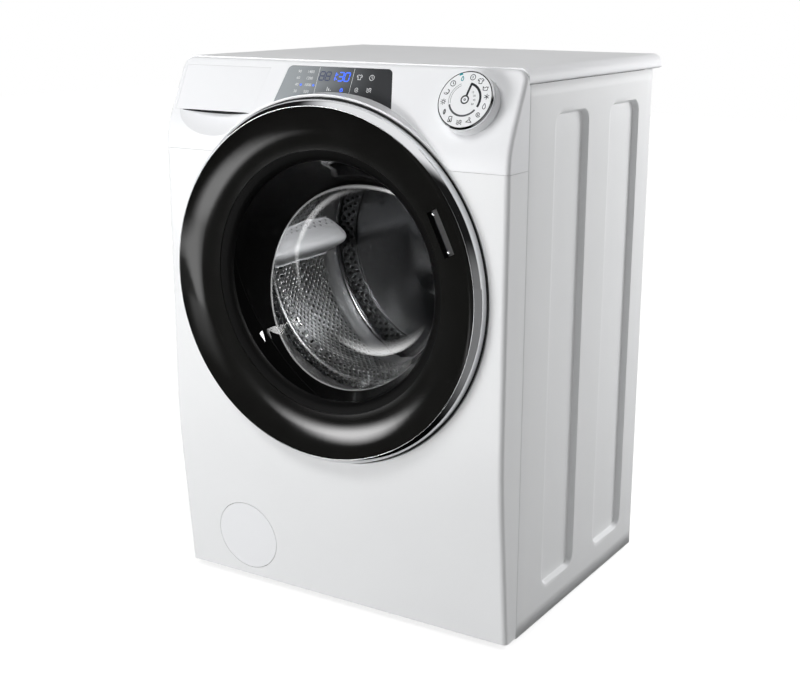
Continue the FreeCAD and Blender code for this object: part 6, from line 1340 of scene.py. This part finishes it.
def rib_belt():
    """Drive belt: a ribbed strip along the open belt line round both pulleys.

    The line is two arcs joined by their common tangents; the strip's inner side has small ribs.
    """
    low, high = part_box("drive_belt")
    room, small, rib_height, ribs, back = 0.0025, 0.0114, 0.0006, 6, 0.0024
    outer = (high.x - low.x) / 2
    big, upper, lower = outer - room, high.z - outer, low.z + small + room
    lean = math.asin((big - small) / (upper - lower))
    angle = np.concatenate([np.linspace(-lean, math.pi + lean, 140),
                            np.linspace(math.pi + lean, WHOLE_TURN - lean, 30)])
    radius = np.repeat([big, small], [140, 30])
    centre = np.repeat([upper, lower], [140, 30])
    across = np.linspace(low.y, high.y, 25)
    rib = rib_height * np.cos((across - low.y) / (high.y - low.y) * ribs * WHOLE_TURN)
    section = np.concatenate([np.stack([rib_height + rib, across], axis=1),
                              [(back, high.y), (back, low.y)]])
    reach = radius[:, None] + section[None, :, 0]
    points = np.stack([reach * np.cos(angle)[:, None], section[None, :, 1] + 0 * reach,
                       centre[:, None] + reach * np.sin(angle)[:, None]], axis=-1)
    faces = quads(len(angle), len(section), True, True)
    add_piece("belt_ribs", (points, faces), "tub", finish("moulded_rubber"), "drive_belt",
              closed=True, crease=35)


STEPS = (WASHER_OT_stage, WASHER_OT_finishes, WASHER_OT_side_panels, WASHER_OT_gasket, WASHER_OT_glass,
         WASHER_OT_drum, WASHER_OT_display, WASHER_OT_dial, WASHER_OT_drawer, WASHER_OT_door_trim,
         WASHER_OT_springs)


class WASHER_PT_panel(bpy.types.Panel):
    """Sidebar list of the sizes, the colours and the steps"""

    bl_idname = "WASHER_PT_panel"
    bl_label = "Washer dryer"
    bl_space_type = "VIEW_3D"
    bl_region_type = "UI"
    bl_category = "Washer"

    def draw(self, context):
        for group in (context.scene.washer_sizes, context.scene.washer_colours):
            for name in group.__annotations__:
                self.layout.prop(group, name)
        for step in STEPS:
            self.layout.operator(step.bl_idname)


CLASSES = (WasherSizes, WasherColours) + STEPS + (WASHER_PT_panel,)


def register():
    """Make the classes known and hang the settings on the scene."""
    for kind in CLASSES:
        bpy.utils.register_class(kind)
    bpy.types.Scene.washer_sizes = bpy.props.PointerProperty(type=WasherSizes)
    bpy.types.Scene.washer_colours = bpy.props.PointerProperty(type=WasherColours)


def unregister():
    """Take the settings and the classes away again."""
    del bpy.types.Scene.washer_colours
    del bpy.types.Scene.washer_sizes
    for kind in reversed(CLASSES):
        bpy.utils.unregister_class(kind)


def main():
    """Dress the solids step by step."""
    register()
    for step in STEPS:
        group, name = step.bl_idname.split(".")
        getattr(getattr(bpy.ops, group), name)()


if __name__ == "__main__":
    main()
